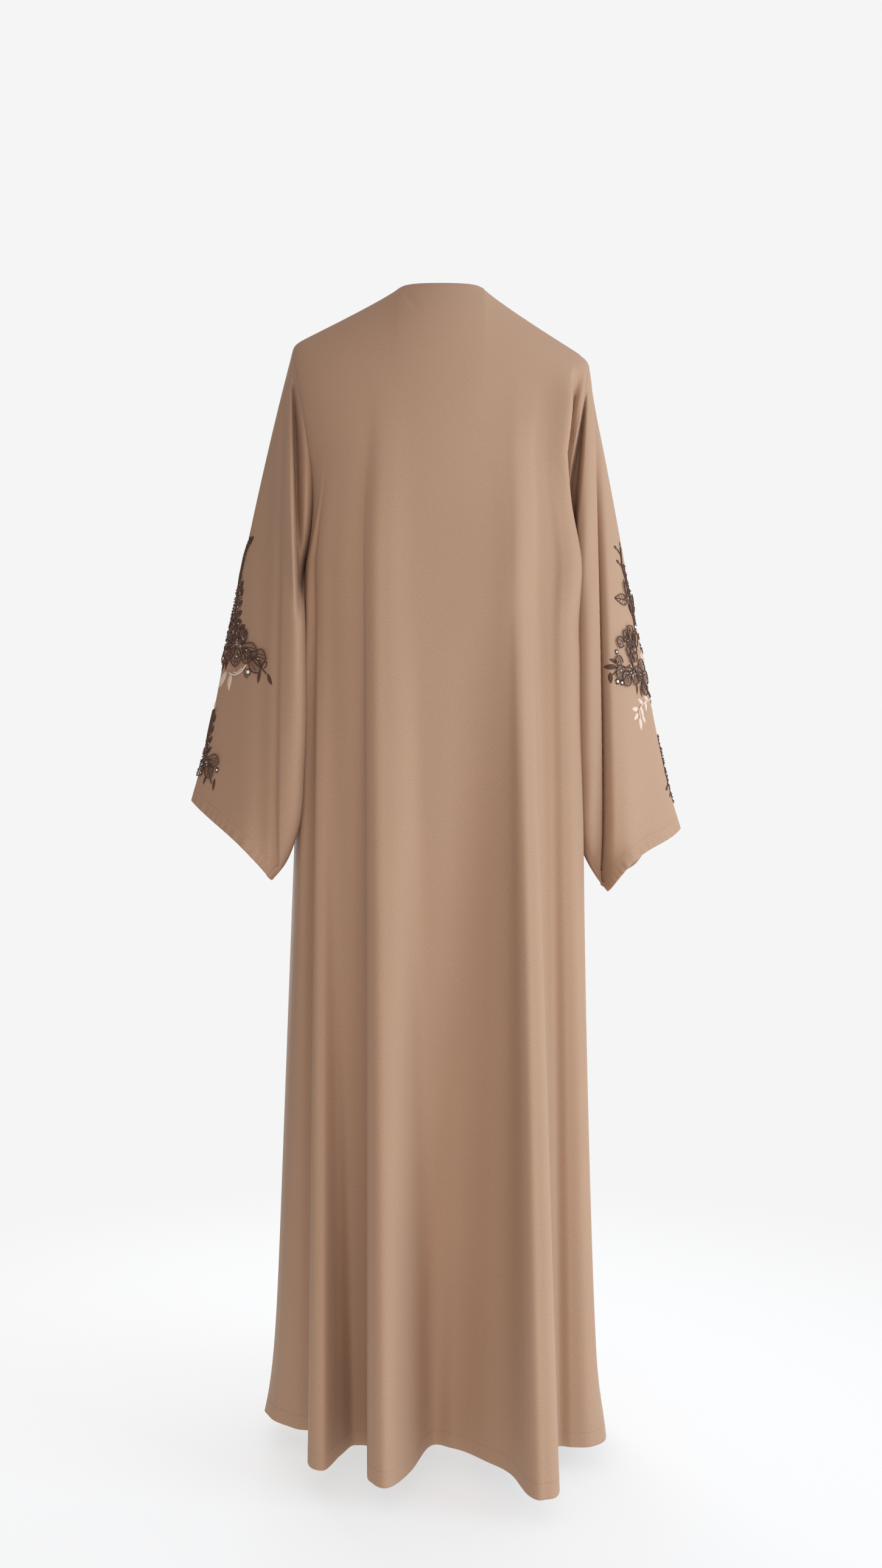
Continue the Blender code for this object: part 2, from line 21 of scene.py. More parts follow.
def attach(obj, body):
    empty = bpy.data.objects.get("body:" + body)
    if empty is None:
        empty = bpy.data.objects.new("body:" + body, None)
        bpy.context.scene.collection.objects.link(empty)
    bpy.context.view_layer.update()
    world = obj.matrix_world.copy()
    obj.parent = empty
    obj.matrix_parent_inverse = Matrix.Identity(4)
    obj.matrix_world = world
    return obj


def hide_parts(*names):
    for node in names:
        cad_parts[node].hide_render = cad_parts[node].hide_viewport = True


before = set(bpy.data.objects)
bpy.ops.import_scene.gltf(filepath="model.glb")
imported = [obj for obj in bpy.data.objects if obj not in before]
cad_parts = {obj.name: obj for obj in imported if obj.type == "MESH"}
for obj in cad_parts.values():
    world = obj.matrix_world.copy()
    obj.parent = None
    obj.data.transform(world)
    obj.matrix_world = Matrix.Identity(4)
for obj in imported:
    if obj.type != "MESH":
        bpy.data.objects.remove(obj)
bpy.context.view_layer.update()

# %% [markdown]
# ## The form the cloth hangs in
#
# Cloth could be draped by simulation, but a cloak that hangs from the shoulders alone has a few long folds in known
# places. Each fold is easier to steer as a line with a name: where it starts on the body and where it meets the hem.
# So the form is worked out from short tables: levels of the body, fold lines round it, and slanted rings down each
# sleeve. Smooth curves through the rows of the tables join them.

# %% Sizes of the body, in metres, with its turns in degrees
NECK_HALF_WIDTH = 0.0525
NECK_RIDGE_RISE = 0.016
BACK_NECK_ROLL = math.radians(24)
FRONT_NECK_ROLL = math.radians(57)
BACK_NECK_TURN = 69.0
FRONT_NECK_TURN = 54.0
SHOULDER_SLOPE_POWER = 0.9
TIP_DROP = 0.055
TIP_DROP_POWER = 34
CHEST_FLATNESS = 0.9
FRONT_GAP_AT_NECK = 0.003
EDGE_REACH_POWER = 4
ARMHOLE_SLIDE_POWER = 2
ARMHOLE_REACH_POWER = 6
UNDERARM_Z = -0.345
HEM_Z = -1.416
FOLD_TOP_Z = -0.40
FOLD_GATHER = 0.26
HEM_FLARE = 0.22
HEM_FLARE_POWER = 18
HEM_FLARE_REACH_POWER = 4

BODY_LEVELS = (
    # z, left_x, right_x, back_y, front_y, rounding
    (-0.200, 0.1620, -0.1600, 0.110, -0.127, 0.54),
    (-0.345, 0.1680, -0.1670, 0.111, -0.128, 0.62),
    (-0.480, 0.1740, -0.1730, 0.112, -0.131, 0.78),
    (-0.747, 0.1850, -0.1800, 0.114, -0.135, 0.85),
    (-1.100, 0.1990, -0.1860, 0.117, -0.139, 0.85),
    (-1.340, 0.2100, -0.1940, 0.119, -0.142, 0.85),
    (-1.416, 0.2160, -0.2000, 0.120, -0.143, 0.85),
)

# %% Fold lines of the back and the fronts
BACK_FOLDS = (
    # name, turn, gather_z, top_x, top_y, hem_x, hem_y, late, side_late
    ("left side seam", 0, -0.36, 0.172, 0.000, 0.225, -0.041, 1.1, 1.0),
    ("left corner", 9, -0.34, 0.165, 0.052, 0.209, -0.010, 1.1, 1.0),
    ("outer left ridge", 17, -0.24, 0.162, 0.064, 0.180, 0.015, 1.3, 1.0),
    ("outer left tuck", 22.5, -0.20, 0.1505, 0.062, 0.150, 0.040, 1.2, 1.0),
    ("left roll flank", 25.5, -0.18, 0.1500, 0.066, 0.1575, 0.101, 1.2, 1.0),
    ("left roll", 31.5, -0.16, 0.143, 0.0735, 0.138, 0.136, 1.5, 1.0),
    ("left roll inner flank", 38, -0.16, 0.131, 0.080, 0.120, 0.094, 1.8, 1.0),
    ("left valley", 47, -0.16, 0.114, 0.089, 0.103, 0.064, 2.0, 1.0),
    ("left blade tuck", 54.5, -0.14, 0.0915, 0.0975, 0.082, 0.090, 1.4, 1.0),
    ("left blade flank", 58, -0.12, 0.0895, 0.1010, 0.085, 0.151, 1.2, 1.0),
    ("left blade edge", 61.5, -0.12, 0.0820, 0.1080, 0.078, 0.170, 1.2, 1.0),
    ("left blade roll", 69, -0.12, 0.0640, 0.1110, 0.060, 0.1815, 1.3, 1.0),
    ("left blade inner flank", 78, -0.14, 0.036, 0.1085, 0.035, 0.137, 1.4, 1.0),
    ("centre valley", 86, -0.16, 0.012, 0.1080, 0.015, 0.070, 2.6, 1.0),
    ("centre", 97, -0.16, -0.0206, 0.1085, -0.014, 0.073, 1.5, 1.0),
    ("centre slope", 111, -0.16, -0.060, 0.1100, -0.052, 0.109, 1.1, 1.0),
    ("right blade root", 119, -0.14, -0.080, 0.1125, -0.082, 0.148, 1.1, 1.0),
    ("right blade flank", 125, -0.12, -0.0895, 0.1125, -0.098, 0.200, 1.1, 1.0),
    ("right blade roll", 131, -0.12, -0.0985, 0.1085, -0.115, 0.212, 1.1, 1.0),
    ("right blade outer flank", 136, -0.12, -0.1085, 0.1000, -0.134, 0.187, 1.1, 1.0),
    ("right blade tuck", 139.5, -0.14, -0.1130, 0.0940, -0.1295, 0.104, 1.1, 1.0),
    ("right valley", 145, -0.18, -0.130, 0.0890, -0.139, 0.070, 1.2, 1.0),
    ("right slope", 152, -0.18, -0.143, 0.0885, -0.158, 0.070, 1.2, 1.0),
    ("right corner roll", 160, -0.20, -0.158, 0.0810, -0.180, 0.069, 1.2, 1.3),
    ("right corner", 167, -0.24, -0.1705, 0.0640, -0.197, 0.055, 1.2, 2.0),
    ("right side seam", 180, -0.36, -0.151, 0.000, -0.204, 0.010, 1.1, 1.4),
)
LEFT_FRONT_FOLDS = (
    # name, turn, gather_z, top_x, top_y, hem_x, hem_y, late, side_late
    ("side seam", 0, -0.36, 0.172, 0.000, 0.225, -0.041, 1.1, 1.0),
    ("side roll", 13, -0.30, 0.167, -0.046, 0.212, -0.112, 1.1, 1.0),
    ("side tuck", 25, -0.24, 0.150, -0.069, 0.168, -0.092, 1.1, 1.0),
    ("bust flank", 33, -0.20, 0.138, -0.086, 0.159, -0.124, 1.1, 1.0),
    ("bust roll", 44, -0.18, 0.117, -0.107, 0.130, -0.178, 1.1, 1.0),
    ("bust inner flank", 54, -0.18, 0.096, -0.115, 0.103, -0.156, 1.1, 1.0),
    ("bust valley", 62, -0.18, 0.078, -0.116, 0.090, -0.104, 1.3, 1.0),
    ("inner flank", 70, -0.18, 0.058, -0.123, 0.074, -0.140, 1.2, 1.0),
    ("inner roll", 79, -0.18, 0.033, -0.129, 0.050, -0.175, 1.1, 1.0),
    ("front edge", 90, -0.24, 0.002, -0.1295, 0.013, -0.124, 1.1, 1.0),
)
RIGHT_FRONT_FOLDS = (
    # name, turn, gather_z, top_x, top_y, hem_x, hem_y, late, side_late
    ("side seam", 0, -0.36, -0.151, 0.000, -0.204, 0.010, 1.1, 1.4),
    ("side roll", 15, -0.30, -0.163, -0.051, -0.203, -0.080, 1.1, 1.0),
    ("side tuck", 25, -0.24, -0.148, -0.069, -0.178, -0.084, 1.1, 1.0),
    ("bust flank", 33, -0.20, -0.137, -0.086, -0.163, -0.116, 1.1, 1.0),
    ("bust roll", 43, -0.18, -0.117, -0.106, -0.138, -0.171, 1.1, 1.0),
    ("bust inner flank", 54, -0.18, -0.094, -0.114, -0.110, -0.160, 1.2, 1.0),
    ("bust valley", 63, -0.18, -0.074, -0.117, -0.096, -0.106, 1.3, 1.0),
    ("inner flank", 71, -0.18, -0.055, -0.123, -0.072, -0.130, 1.1, 1.0),
    ("inner roll", 80, -0.18, -0.030, -0.129, -0.047, -0.166, 1.2, 1.0),
    ("front edge", 90, -0.24, -0.002, -0.1295, -0.013, -0.120, 1.1, 1.0),
)
BACK_LAP_LINE = (
    # z, turn
    (-0.120, 156.0), (-0.155, 158.5), (-0.190, 162.0), (-0.220, 165.0),
    (-0.250, 168.0), (-0.310, 169.0), (-0.345, 166.5), (-0.440, 164.0),
)
# The lap's widths before and past its line, and the tuck's place past it, in degrees round the body. The levels say
# where the lap starts, is full, starts to fade and is gone.
BACK_LAP_WIDTHS = (13.0, 2.2)
BACK_LAP = np.array([-0.0075, 0.0115, 0.0])
BACK_TUCK_OFF = 8.0
BACK_TUCK_WIDTH = 6.0
BACK_TUCK = np.array([0.005, -0.018, 0.0])
BACK_LAP_LEVELS = (-0.10, -0.17, -0.34, -0.44)
BACK_LAP_SEAM_FADE = 4
BACK_CREASES = (
    # name, x, z, end_x, end_z, width, depth
    ("shoulder pucker", -0.1745, -0.0840, -0.1840, -0.1000, 0.0024, -0.0024),
    ("neck crease", 0.0425, -0.0225, 0.0283, -0.0430, 0.0030, -0.0007),
)

# %% Rings and folds of the sleeves
LEFT_SLEEVE_RINGS = (
    # share, outer_x, outer_y, outer_z, inner_x, inner_y, inner_z, back, front, bow, tuck, skew, lift
    (0.00, 0.1836, 0.000, -0.0730, 0.1670, 0.000, -0.345, 0.058, 0.058, -0.0148, 0.000, 0.0, 0.000),
    (0.08, 0.1960, 0.000, -0.1200, 0.1665, 0.034, -0.368, 0.052, 0.070, -0.0060, 0.008, 0.3, 0.000),
    (0.30, 0.2245, -0.002, -0.2380, 0.1640, 0.060, -0.455, 0.034, 0.078, 0.0000, 0.011, 0.6, 0.000),
    (0.60, 0.2650, -0.008, -0.4250, 0.1650, 0.061, -0.590, 0.030, 0.080, 0.0000, 0.012, 0.6, 0.002),
    (0.84, 0.2960, -0.016, -0.5720, 0.1760, 0.053, -0.680, 0.030, 0.070, 0.0000, 0.006, 0.5, 0.006),
    (0.94, 0.3080, -0.018, -0.6140, 0.1925, 0.041, -0.716, 0.030, 0.064, 0.0000, 0.003, 0.5, 0.011),
    (1.00, 0.3150, -0.020, -0.6370, 0.2080, 0.036, -0.734, 0.030, 0.062, 0.0000, 0.000, 0.5, 0.014),
)
RIGHT_SLEEVE_RINGS = (
    # share, outer_x, outer_y, outer_z, inner_x, inner_y, inner_z, back, front, bow, tuck, skew, lift
    (0.00, -0.1836, 0.000, -0.0930, -0.1660, 0.000, -0.345, 0.058, 0.058, 0.0150, 0.000, 0.0, 0.000),
    (0.08, -0.1900, 0.000, -0.1340, -0.1625, 0.012, -0.369, 0.062, 0.066, 0.0050, 0.002, 0.1, 0.000),
    (0.30, -0.2110, -0.002, -0.2450, -0.1605, 0.026, -0.460, 0.060, 0.068, 0.0000, 0.002, 0.2, 0.000),
    (0.60, -0.2500, -0.008, -0.4500, -0.1640, 0.030, -0.610, 0.060, 0.070, 0.0000, 0.002, 0.3, 0.004),
    (0.84, -0.2830, -0.016, -0.6080, -0.1750, 0.028, -0.700, 0.052, 0.066, 0.0000, 0.000, 0.3, 0.012),
    (0.94, -0.2940, -0.018, -0.6470, -0.1935, 0.020, -0.732, 0.046, 0.063, 0.0000, 0.000, 0.3, 0.021),
    (1.00, -0.3020, -0.020, -0.6720, -0.2060, 0.024, -0.7485, 0.043, 0.062, 0.0000, 0.000, 0.3, 0.026),
)
LEFT_SLEEVE_FOLDS = (
    # name, side, top_x, top_z, low_x, low_z, inner_width, outer_width, depth_top, depth_low, lean
    ("armhole crease", 1, 0.1785, -0.09, 0.1685, -0.37, 0.0060, 0.0042, -0.020, -0.034, 0.0045),
    ("inner crease", 1, 0.1895, -0.12, 0.1985, -0.72, 0.0016, 0.0085, -0.0080, -0.0070, 0.0015),
    ("outer trough", 1, 0.2140, -0.22, 0.2180, -0.76, 0.0140, 0.0140, -0.003, -0.006, 0.000),
    ("front roll", -1, 0.2050, -0.16, 0.2220, -0.76, 0.0180, 0.0180, 0.006, 0.012, 0.000),
    ("front trough", -1, 0.2280, -0.28, 0.2520, -0.74, 0.0120, 0.0120, -0.004, -0.010, 0.004),
)
RIGHT_SLEEVE_FOLDS = (
    # name, side, top_x, top_z, low_x, low_z, inner_width, outer_width, depth_top, depth_low, lean
    ("armhole trough", 1, -0.1775, -0.12, -0.1600, -0.33, 0.0300, 0.0018, -0.022, -0.030, 0.000),
    ("inner recess", 1, -0.1890, -0.20, -0.1990, -0.76, 0.0170, 0.0030, -0.002, -0.017, 0.000),
    ("inner crease", 1, -0.1885, -0.08, -0.2000, -0.76, 0.0016, 0.0060, -0.009, -0.016, 0.002),
    ("outer roll", 1, -0.2160, -0.22, -0.2300, -0.76, 0.0140, 0.0140, 0.003, 0.005, 0.000),
    ("front roll", -1, -0.2020, -0.16, -0.2140, -0.76, 0.0180, 0.0180, 0.006, 0.012, 0.000),
    ("front trough", -1, -0.2220, -0.30, -0.2440, -0.74, 0.0120, 0.0120, -0.004, -0.010, -0.004),
)
FOLD_TOP_FADE = 0.04
FOLD_LOW_FADE = 0.05
FOLD_SIDE_FADE = 0.35
FOLD_ARMHOLE_FADE = 0.03
CUFF_PUCKER = 0.0006
CUFF_PUCKERS = 37
# The puckers crowd and spread by the first number, as many times round the cuff as the second says.
CUFF_PUCKER_SWAY = (3, 5)
CUFF_PUCKER_SHARES = (0.955, 0.985)
TUCK_REACH = math.radians(60)

# %% Curves, rings and sections
def curve(at, knots, values):
    """A smooth curve through the values at the knots, which rise."""
    knots = np.asarray(knots, float)
    values = np.asarray(values, float)
    slopes = np.gradient(values, knots)
    left = np.clip(np.searchsorted(knots, at, side="right") - 1, 0, len(knots) - 2)
    width = knots[left + 1] - knots[left]
    t = np.clip((at - knots[left]) / width, 0, 1)
    start = (1 + 2 * t) * (1 - t) ** 2
    end = t * t * (3 - 2 * t)
    start_slope = t * (1 - t) ** 2 * width
    end_slope = t * t * (t - 1) * width
    return (
        start * values[left]
        + end * values[left + 1]
        + start_slope * slopes[left]
        + end_slope * slopes[left + 1]
    )


def columns(table, names_before=0):
    """A table's columns as arrays, without its first names."""
    return np.array([row[names_before:] for row in table], float).T


def ring_point(rings, share, turn):
    """A point of the smooth sleeve, share of the way down it and turn radians round it from its outer line.

    The tuck draws the front of the sleeve away from the body beside the inner line, so that the sleeve's back laps
    over the body's edge. The skew brings the roundest part of the back towards the inner line, and the lift curves a
    ring up between the two lines.
    """
    at, *sizes = columns(rings)
    values = [curve(share, at, size) for size in sizes]
    outer_x, outer_y, outer_z, inner_x, inner_y, inner_z, back, front, bow, tuck, skew, lift = values
    level = np.cos(turn)
    inward = (1 - level) / 2
    bulge = np.where(np.sin(turn) > 0, back * (1 - skew * level), front) * np.sin(turn)
    x = outer_x + (inner_x - outer_x) * inward + bow * (1 - level - 2 * np.minimum(level, 0) ** 2)
    from_inner = np.where(turn < 0, np.clip((math.pi + turn) / TUCK_REACH, 0, 1), 0)
    x = x + np.sign(outer_x) * tuck * np.sin(math.pi * from_inner) ** 2
    y = outer_y + (inner_y - outer_y) * inward + bulge
    z = outer_z + (inner_z - outer_z) * inward + lift * inward * np.where(turn > 0, np.sin(turn), 0) ** 2
    return np.stack([x, y, z], axis=-1)


def sleeve_point(rings, folds, share, turn):
    """A point of the sleeve with its folds, which die out at the armhole.

    A fold has a width towards the body and one towards the outer line, so that it can have one sharp side. A crease
    that leans is pulled sideways under the roll beside it.
    """
    place = ring_point(rings, share, turn)
    x, z = place[..., 0], place[..., 2]
    facing = np.sin(turn)
    rise, sideways = np.zeros_like(x), np.zeros_like(x)
    for _, side, top_x, top_z, low_x, low_z, inner_width, outer_width, depth_top, depth_low, lean in folds:
        down = np.clip((top_z - z) / (top_z - low_z), 0, 1)
        off = np.abs(x) - abs(top_x) - (abs(low_x) - abs(top_x)) * down
        off = off / np.where(off < 0, inner_width, outer_width)
        begun = np.clip((top_z - z) / FOLD_TOP_FADE, 0, 1) * np.clip(1 - (low_z - z) / FOLD_LOW_FADE, 0, 1)
        depth = depth_top + (depth_low - depth_top) * down
        shown = begun * np.exp(-off * off) * np.clip(side * facing / FOLD_SIDE_FADE, 0, 1)
        rise = rise + side * depth * shown
        sideways = sideways + lean * shown
    faded = np.clip(share / FOLD_ARMHOLE_FADE, 0, 1)
    first, full = CUFF_PUCKER_SHARES
    puckered = np.clip((share - first) / (full - first), 0, 1)
    sway, sways = CUFF_PUCKER_SWAY
    rise = rise + CUFF_PUCKER * puckered * np.sin(CUFF_PUCKERS * turn + sway * np.sin(sways * turn))
    place[..., 0] += sideways * faded
    place[..., 1] += rise * faded
    return place


def armhole(rings, side, drop_angle):
    """The armhole edge at a drop angle from the shoulder tip (0) to the underarm (pi), side 1 at the back."""
    return ring_point(rings, 0.0, side * drop_angle)


def ridge_point(turn, neck_turn, neck_angle, is_right, clear_x=0.0):
    """A point of the ridge over the shoulders, which runs on over the neck opening.

    The ridge is the shoulder line up to neck_turn. Over the opening, neck_angle is the angle round its oval, and the
    ridge keeps clear_x from the middle.
    """
    left_tip, right_tip = LEFT_SLEEVE_RINGS[0], RIGHT_SLEEVE_RINGS[0]
    tip_x = np.where(is_right, right_tip[1], left_tip[1])
    tip_z = np.where(is_right, right_tip[3], left_tip[3])
    facing = np.where(is_right, -1, 1)
    share = (1 - np.cos(np.radians(np.minimum(turn, neck_turn)))) / (1 - math.cos(math.radians(neck_turn)))
    over_neck = clear_x + (NECK_HALF_WIDTH - clear_x) * np.abs(np.cos(neck_angle))
    x = np.where(turn > neck_turn, facing * over_neck, tip_x + (facing * NECK_HALF_WIDTH - tip_x) * share)
    slope = tip_z * ((1 - TIP_DROP) * (1 - share) ** SHOULDER_SLOPE_POWER + TIP_DROP * (1 - share) ** TIP_DROP_POWER)
    z = np.where(turn > neck_turn, NECK_RIDGE_RISE * (1 - (over_neck / NECK_HALF_WIDTH) ** 2), slope)
    return np.stack([x, 0 * x, z], axis=-1)


def back_ridge(turn):
    """The ridge over the back and the angle of the roll at which the back starts."""
    opening = (turn - BACK_NECK_TURN) / (180 - 2 * BACK_NECK_TURN)
    neck_angle = np.clip(opening, 0, 1) * math.pi
    ridge = ridge_point(np.minimum(turn, 180 - turn), BACK_NECK_TURN, neck_angle, turn > 90)
    return ridge, BACK_NECK_ROLL * np.sin(neck_angle)


def front_ridge(turn, is_right):
    """The ridge over a front and the angle of the roll at which the front starts."""
    opening = (turn - FRONT_NECK_TURN) / (90 - FRONT_NECK_TURN)
    neck_angle = np.clip(opening, 0, 1) * math.pi / 2
    ridge = ridge_point(turn, FRONT_NECK_TURN, neck_angle, is_right, FRONT_GAP_AT_NECK / 2)
    return ridge, FRONT_NECK_ROLL * np.sin(neck_angle)


def body_edge(z, seam_x, rings, side):
    """The panel's edge beside the sleeve, or at the side seam under it, at a level below the shoulder blades."""
    below_tip = np.clip((z - rings[0][3]) / (UNDERARM_Z - rings[0][3]), 0, 1)
    hole = armhole(rings, side, np.arccos(1 - 2 * below_tip))
    under = z < UNDERARM_Z
    return np.where(under, seam_x, hole[..., 0]), np.where(under, 0, hole[..., 1])


def plan_point(turn, z, side):
    """A point of a level section from the left edge (turn 0) round to the right edge (turn 180).

    Above the underarm the lines of the body slide along the section to start at the armhole, and those beside it
    follow its reach to the side.
    """
    level, left_x, right_x, back_y, front_y, rounding = columns(BODY_LEVELS[::-1])
    left_x = curve(z, level, left_x)
    right_x = curve(z, level, right_x)
    depth = curve(z, level, back_y if side > 0 else front_y)
    power = curve(z, level, rounding)

    def across(angle):
        return right_x + (left_x - right_x) * (1 + np.cos(angle)) / 2

    angle = np.radians(turn)
    near_left = np.clip(1 - turn / 90, 0, 1)
    near_right = np.clip(turn / 90 - 1, 0, 1)
    left_edge_x, left_edge_y = body_edge(z, left_x, LEFT_SLEEVE_RINGS, side)
    right_edge_x, right_edge_y = body_edge(z, right_x, RIGHT_SLEEVE_RINGS, side)
    left_start = np.arcsin(np.abs(left_edge_y / depth) ** (1 / power))
    right_start = np.arcsin(np.abs(right_edge_y / depth) ** (1 / power))
    slid = angle + left_start * near_left**ARMHOLE_SLIDE_POWER - right_start * near_right**ARMHOLE_SLIDE_POWER
    x = (
        across(slid)
        + (left_edge_x - across(left_start)) * near_left**ARMHOLE_REACH_POWER
        + (right_edge_x - across(math.pi - right_start)) * near_right**ARMHOLE_REACH_POWER
    )
    y = depth * np.abs(np.sin(slid)) ** power
    return np.stack([x, y, z + 0 * x], axis=-1)


def smooth_body(turn, row, ridge, start, side, edge_x=None):
    """A point of the body without folds. row is 0 at the top edge, 1 at the underarm and 2 at the hem.

    The cloth rolls over from the ridge, from the angle start on, down to the shoulder blades or the bust, and hangs
    from there. side is 1 at the back and -1 at the front, where edge_x is the place of the panel's front edge.
    """
    middle_share = np.sin(np.radians(turn))

    upper = np.clip(row, 0, 1)
    left_tip_z, right_tip_z = LEFT_SLEEVE_RINGS[0][3], RIGHT_SLEEVE_RINGS[0][3]
    tip_z = right_tip_z + (left_tip_z - right_tip_z) * (1 + np.cos(np.radians(turn))) / 2
    middle = (tip_z + UNDERARM_Z) / 2
    below = np.where(
        row > 1,
        UNDERARM_Z + (HEM_Z - UNDERARM_Z) * (row - 1),
        middle + (UNDERARM_Z - middle) * np.maximum(0, -np.cos(math.pi * upper)),
    )
    place = plan_point(turn, below, side)
    if edge_x is not None:
        centre_x = plan_point(90 + 0 * turn, below, side)[..., 0]
        place[..., 0] += (edge_x - centre_x) * middle_share**EDGE_REACH_POWER

    roll = start + (math.pi / 2 - start) * np.minimum(2 * upper, 1)
    flatness = 1 if side > 0 else 1 + CHEST_FLATNESS * middle_share**EDGE_REACH_POWER
    outward = np.sin(roll) ** flatness
    downward = 1 - np.cos(roll)
    over = ridge + (place - ridge) * np.stack([downward, outward, downward], axis=-1)
    return np.where((row < 0.5)[..., None], over, place)


def soft_step(at, start, end):
    """0 before start, 1 after end, and a soft rise between them."""
    share = np.clip((at - start) / (end - start), 0, 1)
    return share * share * (3 - 2 * share)


def fold_shift(folds, turn, place):
    """How far the folds carry a point from the smooth body.

    Each fold line comes to its own place within FOLD_GATHER below gather_z. From FOLD_TOP_Z down it runs from its top
    place to its hem place, with a flare at the hem. The larger its late, the later it moves out or in, and the larger
    its side_late, the later it moves across.
    """
    at, gather_z, top_x, top_y, hem_x, hem_y, late, side_late = columns(folds, 1)
    z = place[..., 2]
    gather_z = curve(turn, at, gather_z)
    gathered = soft_step(-z, -gather_z, FOLD_GATHER - gather_z)
    down = np.clip((FOLD_TOP_Z - z) / (FOLD_TOP_Z - HEM_Z), 0, 1)
    flare = HEM_FLARE * np.abs(1 - turn / 90) ** HEM_FLARE_REACH_POWER
    spread = (1 - flare) * down + flare * down**HEM_FLARE_POWER
    spread = spread ** curve(turn, at, side_late)
    top_x, hem_x = curve(turn, at, top_x), curve(turn, at, hem_x)
    top_y, hem_y = curve(turn, at, top_y), curve(turn, at, hem_y)
    shift_x = (top_x + (hem_x - top_x) * spread - place[..., 0]) * gathered
    shift_y = (top_y + (hem_y - top_y) * down ** curve(turn, at, late) - place[..., 1]) * gathered
    return np.stack([shift_x, shift_y, 0 * shift_x], axis=-1)


def back_lap(turn, z):
    """The roll in which the back laps over the right armhole seam, and the tuck behind it."""
    high, full, fading, low = BACK_LAP_LEVELS
    shown = soft_step(-z, -high, -full) * (1 - soft_step(-z, -fading, -low))
    shown = shown * np.clip((180 - turn) / BACK_LAP_SEAM_FADE, 0, 1)
    level, line_turn = columns(BACK_LAP_LINE[::-1])
    past = turn - curve(z, level, line_turn)
    roll = np.exp(-((past / np.where(past < 0, *BACK_LAP_WIDTHS)) ** 2))
    tuck = np.exp(-(((past - BACK_TUCK_OFF) / BACK_TUCK_WIDTH) ** 2))
    return (shown * roll)[..., None] * BACK_LAP + (shown * tuck)[..., None] * BACK_TUCK


def small_creases(place):
    """The short creases pressed into the back, each a soft dent along a line."""
    x, z = place[..., 0], place[..., 2]
    sunk = np.zeros_like(x)
    for _, start_x, start_z, end_x, end_z, width, depth in BACK_CREASES:
        way_x, way_z = end_x - start_x, end_z - start_z
        along = np.clip(((x - start_x) * way_x + (z - start_z) * way_z) / (way_x**2 + way_z**2), 0, 1)
        off = np.hypot(x - start_x - along * way_x, z - start_z - along * way_z)
        sunk = sunk + depth * np.exp(-((off / width) ** 2))
    return np.stack([0 * x, sunk, 0 * x], axis=-1)


def back_point(turn, row):
    """A point of the back, turn degrees round from the left side seam."""
    ridge, start = back_ridge(turn)
    place = smooth_body(turn, row, ridge, start, 1)
    place = place + fold_shift(BACK_FOLDS, turn, place) + back_lap(turn, place[..., 2])
    return place + small_creases(place)


def front_point(turn, row, is_right):
    """A point of a front, turn degrees round from its side seam to its edge."""
    folds = RIGHT_FRONT_FOLDS if is_right else LEFT_FRONT_FOLDS
    ridge, start = front_ridge(turn, is_right)
    round_body = 180 - turn if is_right else turn
    edge_x = FRONT_GAP_AT_NECK / 2 * (-1 if is_right else 1)
    place = smooth_body(round_body, row, ridge, start, -1, edge_x)
    return place + fold_shift(folds, turn, place)

# %% [markdown]
# ## Panels with turned edges
#
# A cut panel is flat cloth, and none of its raw edges shows: the hem and the cuffs are turned up about two
# centimetres, the neckline a little less, and at the seams the allowances are pressed inside. Two such rolled edges
# that meet make the soft groove that reads as a seam, which a plain thick sheet doesn't have.
#
# Each panel starts as Blender's grid. Its points are placed on the form, row by row, and the rows and columns past an
# edge are laid back inside on a small roll. Solidify then gives the sheet its thickness, and the UV map keeps the
# cloth's flat measure in metres, so that a weave follows the threads.

# %% Lengths and ways along lines of points
LEAST_LENGTH = 1e-30


def spans(points, axis=0):
    """The distances between neighbouring points."""
    return np.linalg.norm(np.diff(points, axis=axis), axis=-1)


def gone_along(line):
    """How far along a line each of its points is."""
    return np.concatenate([[0], spans(line).cumsum()])


def unit(ways):
    """Ways of length 1. One of no length stays as it is."""
    return ways / np.maximum(np.linalg.norm(ways, axis=-1, keepdims=True), LEAST_LENGTH)


def outward_of(points):
    """The unit direction out of the cloak at each point of a grid whose columns run from left to right."""
    return unit(np.cross(np.gradient(points, axis=0), np.gradient(points, axis=1)))


def along_edge(points, distance):
    """Points at a distance from the first row, along the columns of a rows x columns x 3 grid."""
    steps = spans(points)
    gone = np.pad(steps.cumsum(axis=0), ((1, 0), (0, 0)))
    last = np.clip((gone <= distance).sum(axis=0), 1, len(points) - 1)
    column = np.arange(points.shape[1])
    share = ((distance - gone[last - 1, column]) / steps[last - 1, column])[:, None]
    return points[last - 1, column] * (1 - share) + points[last, column] * share

# %% Turning an edge in
CLOTH = 0.0010
# The roll round an edge: its thickness, how far in its direction is taken, and how far in the panel's own rows start.
ROLL = 0.0013
ROLL_STEPS = 5
ROLL_WAY = 0.002
ROLL_CLEAR = 0.0012
SEAM_TUCK = 0.0011
TURN_NEAREST = 0.0015
TURN_STEPS = 4
# For each edge: whether it is a column of the grid, and the step that brings it first.
EDGES = {"start": (True, 1), "end": (True, -1), "top": (False, 1), "bottom": (False, -1)}


def edge_first(grid, edge):
    """The grid seen from one of its edges, so that this edge is its first row."""
    is_column, step = EDGES[edge]
    return (grid.swapaxes(0, 1) if is_column else grid)[::step]


def edge_back(grid, edge):
    """Undoes edge_first."""
    is_column, step = EDGES[edge]
    return grid[::step].swapaxes(0, 1) if is_column else grid[::step]


